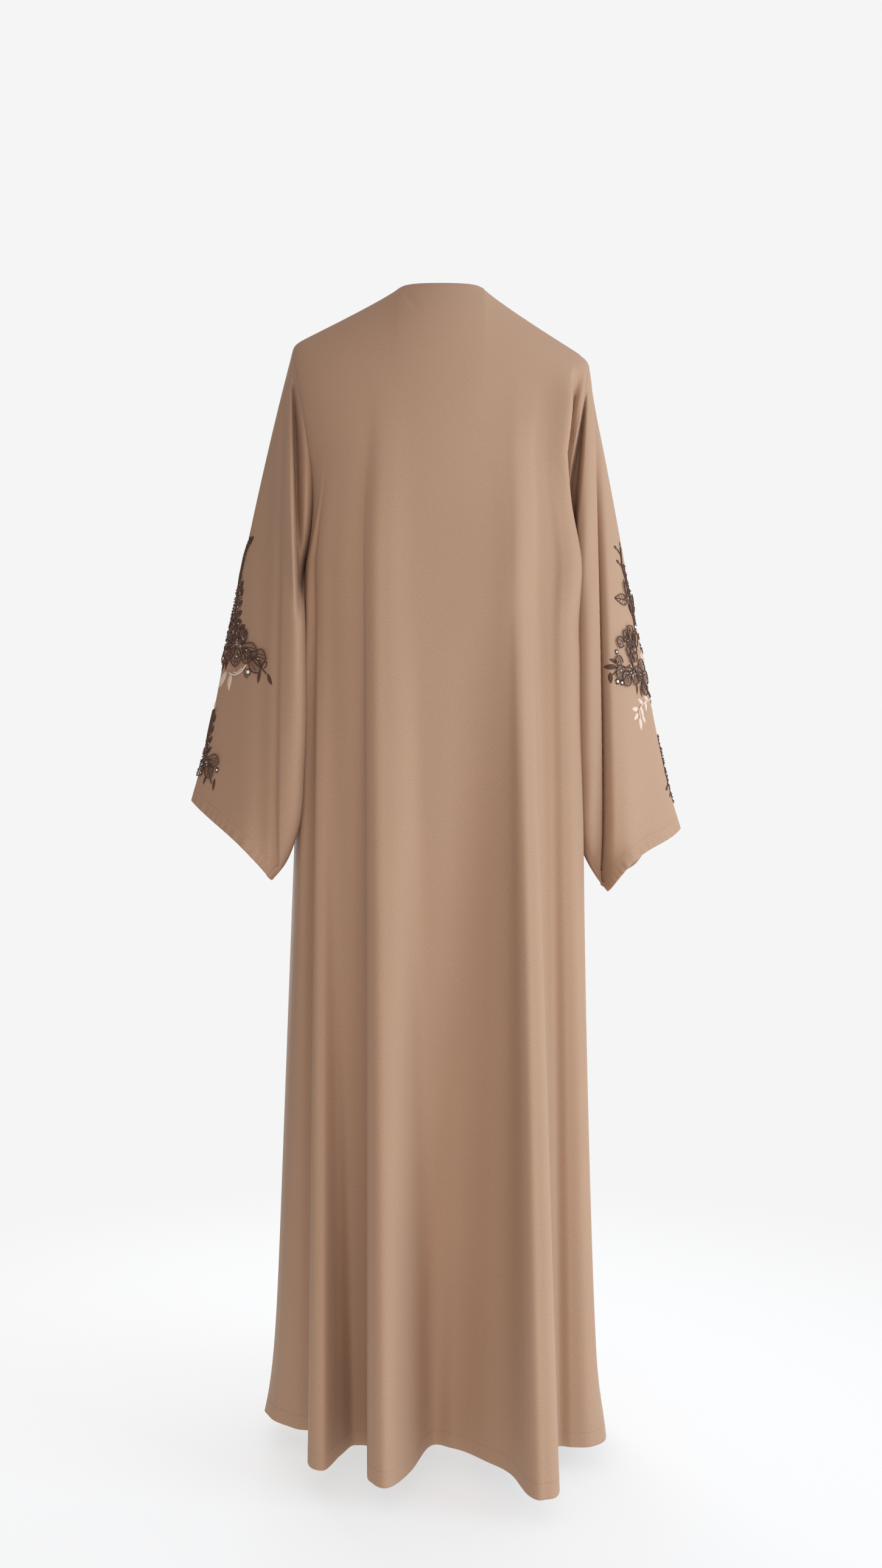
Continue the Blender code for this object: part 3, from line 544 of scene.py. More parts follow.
def turn_in(points, out, width):
    """Lays the first rows of a grid back inside: a roll round the edge, then a turning of the given width."""
    edge, edge_out = along_edge(points, SEAM_TUCK), out[0]
    towards = unit(along_edge(points, SEAM_TUCK + ROLL_WAY) - edge)
    rows = [
        along_edge(points, SEAM_TUCK + distance) - edge_out * ROLL
        for distance in np.linspace(width, TURN_NEAREST, TURN_STEPS)
    ]
    for bend in np.linspace(math.pi, 0, ROLL_STEPS):
        over = edge - towards * math.sin(bend) * ROLL / 2
        rows.append(over - edge_out * (1 - math.cos(bend)) * ROLL / 2)
    gone = spans(points).cumsum(axis=0).min(axis=1)
    first = 1 + int((gone < SEAM_TUCK + ROLL_CLEAR).sum())
    return np.concatenate([rows, points[first:]]), np.concatenate([[edge_out] * len(rows), out[first:]])


def turned_grid(points, **widths):
    """A grid with its edges turned in, in the order in which they are named, each with a width."""
    out = outward_of(points)
    for edge, width in widths.items():
        turned_in = turn_in(edge_first(points, edge), edge_first(out, edge), width)
        points, out = (edge_back(grid, edge) for grid in turned_in)
    return points

# %% A piece of cloth from a grid of points
def place_piece(name, data, material):
    data.materials.append(material)
    data.shade_smooth()
    piece = bpy.data.objects.new(name, data)
    bpy.context.scene.collection.objects.link(piece)
    return piece


def object_from(name, mesh, material):
    data = bpy.data.meshes.new(name)
    mesh.to_mesh(data)
    mesh.free()
    return place_piece(name, data, material)


def finish_piece(piece):
    """What every piece of the cloak has: it rides on the one body."""
    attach(piece, "root")


def flat_measure(points, middle_row, middle_column):
    """The cloth's own flat coordinates in metres: across from a column and down from a row."""
    across = np.pad(spans(points, axis=1).cumsum(axis=1), ((0, 0), (1, 0)))
    down = np.pad(spans(points).cumsum(axis=0), ((1, 0), (0, 0)))
    return np.stack([across - across[:, [middle_column]], down - down[[middle_row]]], axis=-1)


def cloth_from_grid(name, points, material):
    """A sheet of cloth on a grid of points, with its flat measure as a UV map and its thickness by Solidify."""
    rows, cols = points.shape[:2]
    mesh = bmesh.new()
    bmesh.ops.create_grid(mesh, x_segments=cols - 1, y_segments=rows - 1, size=1)
    mesh.verts.ensure_lookup_table()
    for vert, place in zip(mesh.verts, points.reshape(-1, 3)):
        vert.co = place
    flat = flat_measure(points, rows // 3, cols // 2).reshape(-1, 2)
    cloth_map = mesh.loops.layers.uv.new("Cloth")
    for face in mesh.faces:
        for loop in face.loops:
            loop[cloth_map].uv = flat[loop.vert.index]
    bmesh.ops.reverse_faces(mesh, faces=mesh.faces)
    piece = object_from(name, mesh, material)
    wall = piece.modifiers.new("cloth", "SOLIDIFY")
    wall.thickness = CLOTH
    wall.offset = 0
    return piece

# %% [markdown]
# ## The five panels
#
# The back runs from side seam to side seam, and each front from its side seam to its edge. A sleeve is one panel
# rolled into a tube, with its seam along the inner line of the arm. The places of the rows and columns are closer
# together at the edges, where the cloth rolls over, and in the upper part, where it curves most.

# %% Rows and columns
UPPER_ROWS = 90
LOWER_ROWS = 104
BACK_COLUMNS = 224
FRONT_COLUMNS = 130
SLEEVE_ROWS = 150
SLEEVE_COLUMNS = 190
SLEEVE_BACK_SHARE = 0.30
EDGE_STEPS = np.array([0.12, 0.3, 0.55])


def with_close_edges(places):
    """A rising list of places with a few more beside each end."""
    near_start = places[0] + (places[1] - places[0]) * EDGE_STEPS
    near_end = places[-1] - (places[-1] - places[-2]) * EDGE_STEPS[::-1]
    return np.concatenate([places[:1], near_start, places[1:-1], near_end, places[-1:]])


def body_grid(last_turn, count):
    """The turns and the rows of a body panel's points."""
    rows = np.concatenate([np.arange(UPPER_ROWS) / UPPER_ROWS, 1 + np.arange(LOWER_ROWS + 1) / LOWER_ROWS])
    return np.meshgrid(with_close_edges(np.linspace(0, last_turn, count + 1)), with_close_edges(rows))


def back_grid():
    return back_point(*body_grid(180, BACK_COLUMNS))


def front_grid(is_right):
    """A front's points from left to right, as the cloak faces: the left one ends at its side seam."""
    points = front_point(*body_grid(90, FRONT_COLUMNS), is_right)
    return points if is_right else points[:, ::-1]


def sleeve_grid(rings, folds, is_right):
    """A sleeve's points, with more columns at its back than at its front."""
    place = np.linspace(0, 1, SLEEVE_COLUMNS + 1)
    turn = with_close_edges(-math.pi + 2 * math.pi * (place + SLEEVE_BACK_SHARE * place * (1 - place)))
    turns, shares = np.meshgrid(turn, with_close_edges(np.linspace(0, 1, SLEEVE_ROWS + 1)))
    points = sleeve_point(rings, folds, shares, turns)
    return points[:, ::-1] if is_right else points


SLEEVES = (
    # side, rings, folds, is_right
    ("left", LEFT_SLEEVE_RINGS, LEFT_SLEEVE_FOLDS, False),
    ("right", RIGHT_SLEEVE_RINGS, RIGHT_SLEEVE_FOLDS, True),
)
grids = {"back": back_grid(), "front_left": front_grid(False), "front_right": front_grid(True)}
for side, *form in SLEEVES:
    grids["sleeve_" + side] = sleeve_grid(*form)
for node, grid in grids.items():
    print(node, "rows and columns:", grid.shape[:2])

# %% [markdown]
# ## Crepe
#
# Heavy crepe is a matt cloth of tightly twisted threads, so its surface is finely pebbled and it drinks the light,
# with a soft bloom where it turns away. A flat colour with a low gloss would look like plastic. The weave, the pebble
# and the slow change of shade are worked out on the cloth's own flat measure, and the bloom is the shader's sheen.

# %% Wiring nodes
def set_inputs(tree, node, **values):
    """Gives inputs, named with underscores for spaces, a number, a colour of three numbers or another node's socket."""
    for name, value in values.items():
        socket = node.inputs[name.replace("_", " ")]
        if isinstance(value, bpy.types.NodeSocket):
            tree.links.new(value, socket)
        else:
            socket.default_value = (*value, 1) if socket.type == "RGBA" else value
    return node


def add_node(tree, kind, **values):
    return set_inputs(tree, tree.nodes.new(kind), **values)


def linked_maths(tree, operation, *inputs):
    """A Math node with each input either a number or a socket."""
    node = tree.nodes.new("ShaderNodeMath")
    node.operation = operation
    for socket, value in zip(node.inputs, inputs):
        if isinstance(value, bpy.types.NodeSocket):
            tree.links.new(value, socket)
        else:
            socket.default_value = value
    return node.outputs[0]


def mixed_colour(tree, mask, first, second, blend="MIX"):
    """A colour between two, or one laid over the other by a blend, as far as the mask goes."""
    mix = tree.nodes.new("ShaderNodeMix")
    mix.data_type = "RGBA"
    mix.blend_type = blend
    return set_inputs(tree, mix, Factor=mask, A=first, B=second).outputs["Result"]


def raised_normal(tree, height, strength, distance):
    return add_node(tree, "ShaderNodeBump", Height=height, Strength=strength, Distance=distance).outputs["Normal"]


def noise(tree, where, scale, detail):
    return add_node(tree, "ShaderNodeTexNoise", Vector=where, Scale=scale, Detail=detail).outputs["Fac"]

# %% The woven grain, shared by every cloth
WOVEN_HEIGHT = 0.25


def new_group(name, **numbers):
    """A shared effect that works out a height and a shade from a flat map and some numbers."""
    group = bpy.data.node_groups.new(name, "ShaderNodeTree")
    group.interface.new_socket("Map", in_out="INPUT", socket_type="NodeSocketVector")
    for number, value in numbers.items():
        name = number.replace("_", " ")
        group.interface.new_socket(name, in_out="INPUT", socket_type="NodeSocketFloat").default_value = value
    group.interface.new_socket("Height", in_out="OUTPUT", socket_type="NodeSocketFloat")
    group.interface.new_socket("Shade", in_out="OUTPUT", socket_type="NodeSocketFloat")
    return group, group.nodes.new("NodeGroupInput").outputs, group.nodes.new("NodeGroupOutput")


def make_weave_group():
    """Warp and weft on a flat map in metres, with a pebble of uneven twist over them."""
    group, given, leave = new_group("woven_grain", Threads_per_Metre=2400, Pebble_per_Metre=700)
    parts = add_node(group, "ShaderNodeSeparateXYZ", Vector=given["Map"]).outputs
    radians = linked_maths(group, "MULTIPLY", given["Threads per Metre"], 2 * math.pi)
    warp, weft = (linked_maths(group, "SINE", linked_maths(group, "MULTIPLY", parts[i], radians)) for i in (0, 1))
    twist = add_node(
        group, "ShaderNodeTexNoise", Vector=given["Map"], Scale=given["Pebble per Metre"], Detail=3, Roughness=0.6
    ).outputs["Fac"]
    woven = linked_maths(group, "MULTIPLY", warp, weft)
    set_inputs(group, leave, Height=linked_maths(group, "MULTIPLY_ADD", woven, WOVEN_HEIGHT, twist), Shade=twist)
    return group


weave = make_weave_group()

# %% The crepe itself
CREPE_COLOUR = (0.416, 0.262, 0.176)
# How much a shade changes and where it starts: for the fine grain and for the slow change over the cloth.
FINE_SHADE = (0.50, 0.75)
BROAD_SHADE = (0.06, 0.97)


def new_material(name):
    material = bpy.data.materials.new(name)
    material.use_nodes = True
    return material, material.node_tree, material.node_tree.nodes["Principled BSDF"]


def flat_map(tree, name):
    node = tree.nodes.new("ShaderNodeUVMap")
    node.uv_map = name
    return node.outputs["UV"]


def shared_effect(tree, group, **values):
    """The outputs of a shared effect in a material, with the material's own numbers."""
    node = tree.nodes.new("ShaderNodeGroup")
    node.node_tree = group
    return set_inputs(tree, node, **values).outputs


def make_crepe():
    material, tree, shader = new_material("crepe")
    cloth_map = flat_map(tree, "Cloth")
    grain = shared_effect(tree, weave, Map=cloth_map, Threads_per_Metre=1900, Pebble_per_Metre=620)
    broad = linked_maths(tree, "MULTIPLY_ADD", noise(tree, cloth_map, 9.0, 2.0), *BROAD_SHADE)
    fine = linked_maths(tree, "MULTIPLY_ADD", grain["Shade"], *FINE_SHADE)
    shade = linked_maths(tree, "MULTIPLY", fine, broad)
    set_inputs(
        tree,
        shader,
        Base_Color=mixed_colour(tree, 1.0, CREPE_COLOUR, shade, "MULTIPLY"),
        Normal=raised_normal(tree, grain["Height"], 0.35, 0.00012),
        Roughness=0.66,
        Specular_IOR_Level=0.10,
        Sheen_Weight=0.08,
        Sheen_Roughness=0.45,
        Sheen_Tint=(1.0, 0.95, 0.90),
    )
    return material


crepe = make_crepe()

# %% Turn the edges in and hang the five panels
SEAM, FRONT_EDGE, NECK_TURN, HEM_TURN, CUFF_TURN = 0.010, 0.015, 0.008, 0.020, 0.018
TURNINGS = {
    # node: the width of each turning, in the order in which they are folded
    "back": {"start": SEAM, "end": SEAM, "top": NECK_TURN, "bottom": HEM_TURN},
    "front_left": {"start": FRONT_EDGE, "end": SEAM, "top": NECK_TURN, "bottom": HEM_TURN},
    "front_right": {"start": SEAM, "end": FRONT_EDGE, "top": NECK_TURN, "bottom": HEM_TURN},
    "sleeve_left": {"start": SEAM, "end": SEAM, "top": SEAM, "bottom": CUFF_TURN},
    "sleeve_right": {"start": SEAM, "end": SEAM, "top": SEAM, "bottom": CUFF_TURN},
}
panels = {}
for node, grid in grids.items():
    panels[node] = cloth_from_grid(node + "_cloth", turned_grid(grid, **TURNINGS[node]), crepe)
    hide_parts(node)
    finish_piece(panels[node])
    print(panels[node].name, "faces:", len(panels[node].data.polygons))

# %% How big each panel was cut
def sheet_area(piece):
    mesh = bmesh.new()
    mesh.from_mesh(piece.data)
    area = sum(face.calc_area() for face in mesh.faces)
    mesh.free()
    return area


SHEETS = {
    # node: width and length of the cut, and the cloths it rests on
    "back": ((0.98, 1.46), ["front_left_cloth", "front_right_cloth"]),
    "front_left": ((0.56, 1.46), ["back_cloth"]),
    "front_right": ((0.56, 1.46), ["back_cloth"]),
    "sleeve_left": ((0.44, 0.70), ["back_cloth", "front_left_cloth"]),
    "sleeve_right": ((0.44, 0.70), ["back_cloth", "front_right_cloth"]),
}
for node, (cut, rests_on) in SHEETS.items():
    area = sheet_area(panels[node])
    print(node, "cloth, turnings included:", round(area, 3), "m2, of", cut, "in the cut")

# %% [markdown]
# ## A flat measure for each sleeve
#
# Sprays like these are worked flat on net and then sewn along the outer line of the sleeve. The same is done here:
# every cord, leaf, petal and bead is modelled flat, with its place given in metres across from the outer line and
# down from the shoulder, and the finished flat work is then laid on the curved sleeve. The measure is worked out once
# for each sleeve, by stepping over a fine net of its points.

# %% From a flat place to a place on the sleeve
NET_ROWS = 301
NET_COLUMNS = 181
NET_REACH = math.radians(135)
LAST_CELL = 1.001
# Finding a place: the first guess's radius, the steps towards it, and the turn over which the gain is measured.
ROUGH_RADIUS = 0.07
FINDING_STEPS = 12
FINDING_TURN = 0.01
LEAST_GAIN = 1e-5
# How far to both sides of a place the sleeve's slope is taken.
OUTWARD_SHARE = 0.004
OUTWARD_TURN = 0.016


class SleeveMeasure:
    """Gives the place on a sleeve for a flat place: across (towards the back) and down, in metres."""

    def __init__(self, rings, folds, is_right):
        self.rings, self.folds, self.is_right = rings, folds, is_right
        self.shares = np.linspace(0, 1, NET_ROWS)
        turns = np.linspace(-NET_REACH, NET_REACH, NET_COLUMNS)
        net = self.point(*np.meshgrid(self.shares, turns, indexing="ij"))
        middle = NET_COLUMNS // 2
        outer = net[:, middle]
        steps = np.diff(net, axis=1)
        along = (steps * unit(np.gradient(outer, axis=0))[:, None]).sum(axis=-1)
        aside = np.sqrt(np.maximum((steps**2).sum(axis=-1) - along**2, 0))
        across, down = (np.pad(step.cumsum(axis=1), ((0, 0), (1, 0))) for step in (aside, along))
        self.outer_down = gone_along(outer)
        self.across = across - across[:, [middle]]
        self.down = down + (self.outer_down[:, None] - down[:, [middle]])

    def point(self, share, turn):
        return sleeve_point(self.rings, self.folds, share, turn)

    def read(self, table, share, turn):
        """A value of one of the tables between its rows and columns."""
        row = np.clip(share * (NET_ROWS - 1), 0, NET_ROWS - LAST_CELL)
        column = np.clip((turn / NET_REACH + 1) / 2 * (NET_COLUMNS - 1), 0, NET_COLUMNS - LAST_CELL)
        i, j = row.astype(int), column.astype(int)
        p, q = row - i, column - j
        low = table[i, j] * (1 - q) + table[i, j + 1] * q
        high = table[i + 1, j] * (1 - q) + table[i + 1, j + 1] * q
        return low * (1 - p) + high * p

    def find(self, across, down):
        """The share down the sleeve and the turn round it at a flat place."""
        share = np.interp(down, self.outer_down, self.shares)
        turn = across / ROUGH_RADIUS
        for _ in range(FINDING_STEPS):
            further = self.read(self.across, share, turn + FINDING_TURN)
            gained = (further - self.read(self.across, share, turn - FINDING_TURN)) / 2
            missing = across - self.read(self.across, share, turn)
            turn = np.clip(turn + missing * FINDING_TURN / np.maximum(gained, LEAST_GAIN), -NET_REACH, NET_REACH)
            missing = down - self.read(self.down, share, turn)
            share = np.clip(share + missing / self.outer_down[-1], 0, 1)
        return share, turn

    def lay(self, across, down, height):
        """The place in space of flat work at a height over the cloth's outer face."""
        share, turn = self.find(across, down)
        down_way = self.point(share + OUTWARD_SHARE, turn) - self.point(share - OUTWARD_SHARE, turn)
        round_way = self.point(share, turn + OUTWARD_TURN) - self.point(share, turn - OUTWARD_TURN)
        outward = unit(np.cross(down_way, round_way)) * (-1 if self.is_right else 1)
        return self.point(share, turn) + outward * (CLOTH / 2 + height)[..., None]


measures = {side: SleeveMeasure(*form) for side, *form in SLEEVES}
for side, measure in measures.items():
    print(side, "sleeve's outer line:", round(float(measure.outer_down[-1]), 3), "m")

# %% [markdown]
# ## Threads, net, beads and stones
#
# The sprays are worked in two rayon threads, a dark brown and a pale blush. Rayon shines along its strands, so both
# threads share one node group that draws fine strands on a flat map, each painted lighter along its crest as a sheen
# over the random tone of a fray, and each thread gives it its own pitch. The petals are organza, a stiff, sheer net
# that shows the crepe through it. Glass seed beads, cupped sequins and cut stones catch the light, so they are smooth,
# and the stones are painted near white, a painted glint that stands in for the sparkle of clear glass.

# %% Strands with a painted sheen, shared by both threads
STRAND_SLANT = 0.5
STRAND_PAINTED_SHEEN = 0.35
FRAY_SHADE = 0.9


def make_strand_group():
    """Fine slanting strands on a flat map in metres, each painted lighter along its crest as a sheen over a random
    fray.
    """
    group, given, leave = new_group("strands_with_painted_sheen", Strands_per_Metre=1800)
    parts = add_node(group, "ShaderNodeSeparateXYZ", Vector=given["Map"]).outputs
    slanted = linked_maths(group, "MULTIPLY_ADD", parts[1], STRAND_SLANT, parts[0])
    turns = linked_maths(group, "MULTIPLY", slanted, given["Strands per Metre"])
    wave = linked_maths(group, "SINE", linked_maths(group, "MULTIPLY", turns, 2 * math.pi))
    height = linked_maths(group, "MULTIPLY_ADD", wave, 0.5, 0.5)
    fray = linked_maths(group, "MULTIPLY", noise(group, given["Map"], 900.0, 2.0), FRAY_SHADE)
    # each strand's crest is painted lighter as a sheen, over the random tone of the fray
    shade = linked_maths(group, "MULTIPLY_ADD", height, STRAND_PAINTED_SHEEN, fray)
    set_inputs(group, leave, Height=height, Shade=shade)
    return group


strands = make_strand_group()

# %% The threads
def make_thread(name, dark, light, pitch, roughness, sheen):
    material, tree, shader = new_material(name)
    grain = shared_effect(tree, strands, Map=flat_map(tree, "Thread"), Strands_per_Metre=pitch)
    set_inputs(
        tree,
        shader,
        # the thread runs from dark to light with the strands' painted sheen and their random fray
        Base_Color=mixed_colour(tree, grain["Shade"], dark, light),
        Normal=raised_normal(tree, grain["Height"], 0.6, 0.0002),
        Roughness=roughness,
        Specular_IOR_Level=0.12,
        Sheen_Weight=sheen,
        Sheen_Roughness=0.35,
    )
    return material


# name, dark, light, strands per metre, roughness, sheen
dark_thread = make_thread("dark_thread", (0.038, 0.018, 0.013), (0.158, 0.085, 0.060), 1500, 0.60, 0.0)
blush_thread = make_thread("blush_thread", (0.58, 0.41, 0.32), (0.84, 0.68, 0.58), 1300, 0.40, 0.25)

# %% Organza, glass, sequins and stones
# How much the weave changes the organza's alpha and where it starts, and the noise that tells beads apart.
SHEERNESS = (0.25, 0.32)
BEAD_TONES = (0.40, 0.62)


def make_organza():
    material, tree, shader = new_material("organza")
    thread_map = flat_map(tree, "Thread")
    grain = shared_effect(tree, weave, Map=thread_map, Threads_per_Metre=1500, Pebble_per_Metre=260)
    set_inputs(
        tree,
        shader,
        Base_Color=mixed_colour(tree, grain["Shade"], (0.190, 0.112, 0.084), (0.45, 0.29, 0.22)),
        Alpha=linked_maths(tree, "MULTIPLY_ADD", grain["Height"], *SHEERNESS),
        Roughness=0.5,
        Specular_IOR_Level=0.15,
    )
    return material


def object_noise(tree, scale, detail=0.0):
    """A noise over the whole piece, fine enough to differ from one bead or stone to the next."""
    return noise(tree, tree.nodes.new("ShaderNodeTexCoord").outputs["Object"], scale, detail)


def make_glass_bead():
    material, tree, shader = new_material("glass_bead")
    uneven = object_noise(tree, 420.0)
    low, high = BEAD_TONES
    spread = add_node(tree, "ShaderNodeMapRange", Value=uneven, From_Min=low, From_Max=high).outputs["Result"]
    set_inputs(
        tree,
        shader,
        Base_Color=mixed_colour(tree, spread, (0.040, 0.019, 0.013), (0.20, 0.120, 0.090)),
        Roughness=0.12,
        Specular_IOR_Level=0.6,
        Coat_Weight=0.1,
        Coat_Roughness=0.05,
    )
    return material


def make_bright(name, dark, light, metallic, roughness):
    """Sequins and stones: bright, smooth, and a little uneven from one to the next. The stones' near-white colour is a
    painted glint.
    """
    material, tree, shader = new_material(name)
    colour = mixed_colour(tree, object_noise(tree, 300.0), dark, light)
    look = {"Metallic": metallic, "Roughness": roughness, "Coat_Weight": 1.0, "Coat_Roughness": 0.03}
    set_inputs(tree, shader, Base_Color=colour, **look)
    return material


SPRAY_MATERIALS = (
    # the bright ones: name, dark, light, metallic, roughness
    dark_thread,
    blush_thread,
    make_organza(),
    make_glass_bead(),
    make_bright("sequin", (0.46, 0.37, 0.33), (0.95, 0.86, 0.80), 0.6, 0.20),
    # the stones are painted near white: a painted glint in place of the sparkle of clear cut glass
    make_bright("cut_stone_painted_glint", (0.96, 0.90, 0.84), (1.0, 0.97, 0.93), 0.0, 0.06),
)
DARK, BLUSH, ORGANZA, BEAD, SEQUIN, STONE = range(len(SPRAY_MATERIALS))

# %% [markdown]
# ## The elements of a spray
#
# Each element is worked flat, with x across, y down and z up from the cloth. A cord is a small tube along a smooth
# line. A satin-stitched leaf is a low dome with a groove down its middle, where the stitches from both sides meet. A
# petal is a cupped piece of organza whose rim and veins are couched cords. Beads, sequins and stones are a few dozen
# faces each, as there are hundreds of them.

# %% Putting an element into the flat work
# Points closer than this are one.
MEETING = 1e-6
LEAST_POINTS = 4


def in_flat(verts, material_index):
    """The faces of new vertices, with their material set."""
    faces = {face for vert in verts for face in vert.link_faces}
    for face in faces:
        face.material_index = material_index
    return faces


def flat_grid(mesh, places, maps, material_index):
    """A grid of points as faces, with a flat map for the strands. Points that meet are merged."""
    rows, cols = places.shape[:2]
    verts = bmesh.ops.create_grid(mesh, x_segments=cols - 1, y_segments=rows - 1, size=1)["verts"]
    layer = mesh.loops.layers.uv["Thread"]
    flat = maps.reshape(-1, 2)
    number = {vert: i for i, vert in enumerate(verts)}
    for vert, place in zip(verts, places.reshape(-1, 3)):
        vert.co = place
    for face in in_flat(verts, material_index):
        for loop in face.loops:
            loop[layer].uv = flat[number[loop.vert]]
    bmesh.ops.remove_doubles(mesh, verts=verts, dist=MEETING)


def smooth_line(points, spacing):
    """Points at an even spacing along a smooth line through the given ones."""
    knots = gone_along(points)
    at = np.linspace(0, knots[-1], max(LEAST_POINTS, int(knots[-1] / spacing) + 1))
    if len(points) == 2:
        return points[0] + (points[1] - points[0]) * (at / knots[-1])[:, None]
    return np.stack([curve(at, knots, column) for column in points.T], axis=-1)


def turned(angle):
    """The ways along and aside of an element that points at an angle: 0 is down, 90 is towards the back."""
    angle = math.radians(angle)
    along = np.array([math.sin(angle), math.cos(angle)])
    return along, np.array([along[1], -along[0]])


def on_ways(base, angle, along, aside):
    """Flat places at distances along and aside from the base of an element that points at an angle."""
    along_way, aside_way = turned(angle)
    return base + along[..., None] * along_way + aside[..., None] * aside_way

# %% Cords
CORD_SIDES = 6
CORD_SPACING = 0.0016
CORD_LIFT = 0.7


def add_cord(mesh, points, radius, material_index=DARK):
    """A couched cord along a line of (across, down) points, with rounded ends."""
    line = smooth_line(points, CORD_SPACING)
    along = unit(np.gradient(line, axis=0))
    aside = np.stack([-along[:, 1], along[:, 0], 0 * along[:, 0]], axis=-1)
    gone = gone_along(line)
    from_end = np.clip(np.minimum(gone, gone[-1] - gone) / radius, 0, 1)
    thick = radius * np.sqrt(np.clip(1 - (1 - from_end) ** 2, 0, 1))
    angle = np.linspace(0, 2 * math.pi, CORD_SIDES + 1)[:, None]
    centre = np.column_stack([line, np.full(len(line), radius * CORD_LIFT)])
    ring = aside[:, None] * np.cos(angle) - np.array([0, 0, 1.0]) * np.sin(angle)
    places = centre[:, None] + ring * thick[:, None, None]
    places[:, -1] = places[:, 0]
    maps = np.stack(np.broadcast_arrays(gone[:, None], angle.T * radius), axis=-1)
    flat_grid(mesh, places, maps, material_index)


def add_raised_cord(mesh, line, radius):
    """A thin cord along a line in space that lifts off the cloth with the petal it edges."""
    first = len(mesh.verts)
    add_cord(mesh, line[:, :2], radius)
    mesh.verts.ensure_lookup_table()
    for vert in mesh.verts[first:]:
        near = np.argmin((line[:, 0] - vert.co.x) ** 2 + (line[:, 1] - vert.co.y) ** 2)
        vert.co.z += line[near, 2]

# %% Satin leaves
LEAF_ROWS = 10
LEAF_COLUMNS = 8
LEAF_HEIGHT = 0.0013
LEAF_SINK = 0.0003
# The powers that shape the outline, and the part of the length over which the dome rises and falls.
LEAF_BASE_FULLNESS = 0.85
LEAF_ROUNDNESS = 0.8
LEAF_RAISED = (0.02, 0.98)
GROOVE_DEPTH = 0.22
GROOVE_WIDTH = 0.16
STITCH_SLANT = 0.6


def add_leaf(mesh, at, angle, length, width, material_index, bend):
    """A satin-stitched leaf or bud about its middle: a pointed dome with a groove where its stitches meet."""
    share = np.linspace(0, 1, LEAF_ROWS + 1)[:, None]
    side = np.linspace(-1, 1, LEAF_COLUMNS + 1)[None]
    half = width / 2 * np.sin(math.pi * share**LEAF_BASE_FULLNESS) ** LEAF_ROUNDNESS
    along = (share - 0.5) * length + 0 * side
    aside = side * half + bend * length * (share - 0.5) ** 2
    dome = np.sqrt(np.clip(1 - side * side, 0, 1)) - GROOVE_DEPTH * np.exp(-((side / GROOVE_WIDTH) ** 2))
    rise = LEAF_HEIGHT * dome * np.sqrt(np.sin(math.pi * np.clip(share, *LEAF_RAISED))) - LEAF_SINK
    places = np.concatenate([on_ways(at, angle, along, aside), rise[..., None]], axis=-1)
    maps = np.stack([along + np.abs(aside) * STITCH_SLANT, aside], axis=-1)
    flat_grid(mesh, places, maps, material_index)

# %% Organza petals and open leaves
PETAL_ROWS = 9
PETAL_COLUMNS = 10
# The cup: its lift and depth, how late it deepens, how much of it the middle has, and how the tip falls back.
PETAL_LIFT = 0.0007
PETAL_CUP = 0.0022
PETAL_CUP_POWER = 1.5
PETAL_CUP_MIDDLE = 0.45
PETAL_TIP_FALL = 0.5
PETAL_TIP_POWER = 6
# The outline: how round the tip is cut, how near it the widest place is, how open the base is, and how full the sides.
PETAL_TIP_ARC = 0.10
PETAL_TIP_FULLNESS = 1.25
PETAL_BASE_OPEN = 0.06
PETAL_ROUNDNESS = 0.75
PETAL_START = 0.02
# The cords: veins reach this far to the sides, and run from a start to an end that is shorter at the sides.
RIM_RADIUS = 0.0007
VEIN_RADIUS = 0.00038
VEIN_REACH = 0.5
VEIN_START = 0.05
VEIN_END = 0.88
VEIN_SIDE_SHORTER = 0.2
VEIN_POINTS = 7
OPEN_LEAF_FULLNESS = 0.8
OPEN_LEAF_MIDDLE_END = 0.96
OPEN_LEAF_VEIN_RISE = 0.2
OPEN_LEAF_VEIN_REACH = 0.9
OPEN_LEAF_VEIN_POINTS = 4
OPEN_LEAF_VEINS = (0.16, 0.36, 0.56)


def petal_place(base, angle, length, width, share, side):
    """A point of a petal: share out from its base and side from -1 to 1 across it."""
    wave = math.pi * np.clip(share, 0, 1) ** PETAL_TIP_FULLNESS * (1 - PETAL_BASE_OPEN) + PETAL_BASE_OPEN
    half = width / 2 * np.sin(wave) ** PETAL_ROUNDNESS
    flat = on_ways(base, angle, length * share * (1 - PETAL_TIP_ARC * side * side * share), side * half)
    cupped = PETAL_CUP_MIDDLE + (1 - PETAL_CUP_MIDDLE) * np.abs(side)
    rise = PETAL_LIFT + PETAL_CUP * share**PETAL_CUP_POWER * cupped * (1 - share**PETAL_TIP_POWER * PETAL_TIP_FALL)
    return np.concatenate([flat, rise[..., None]], axis=-1)


def add_petal(mesh, base, angle, length, width, veins):
    """A petal from its base: sheer organza, with cords couched round its rim and along its veins."""
    share = np.linspace(PETAL_START, 1, PETAL_ROWS + 1)
    side = np.linspace(-1, 1, PETAL_COLUMNS + 1)
    shape = (base, angle, length, width)
    places = petal_place(*shape, *np.broadcast_arrays(share[:, None], side[None]))
    flat_grid(mesh, places, places[..., :2], ORGANZA)
    rim_share = np.concatenate([share, share[::-1]])
    add_raised_cord(mesh, petal_place(*shape, rim_share, np.repeat([-1.0, 1.0], len(share))), RIM_RADIUS)
    for vein in np.linspace(-VEIN_REACH, VEIN_REACH, veins) if veins > 1 else [0.0]:
        out = np.linspace(VEIN_START, VEIN_END - VEIN_SIDE_SHORTER * abs(vein), VEIN_POINTS)
        add_raised_cord(mesh, petal_place(*shape, out, vein * out**0.5), VEIN_RADIUS)


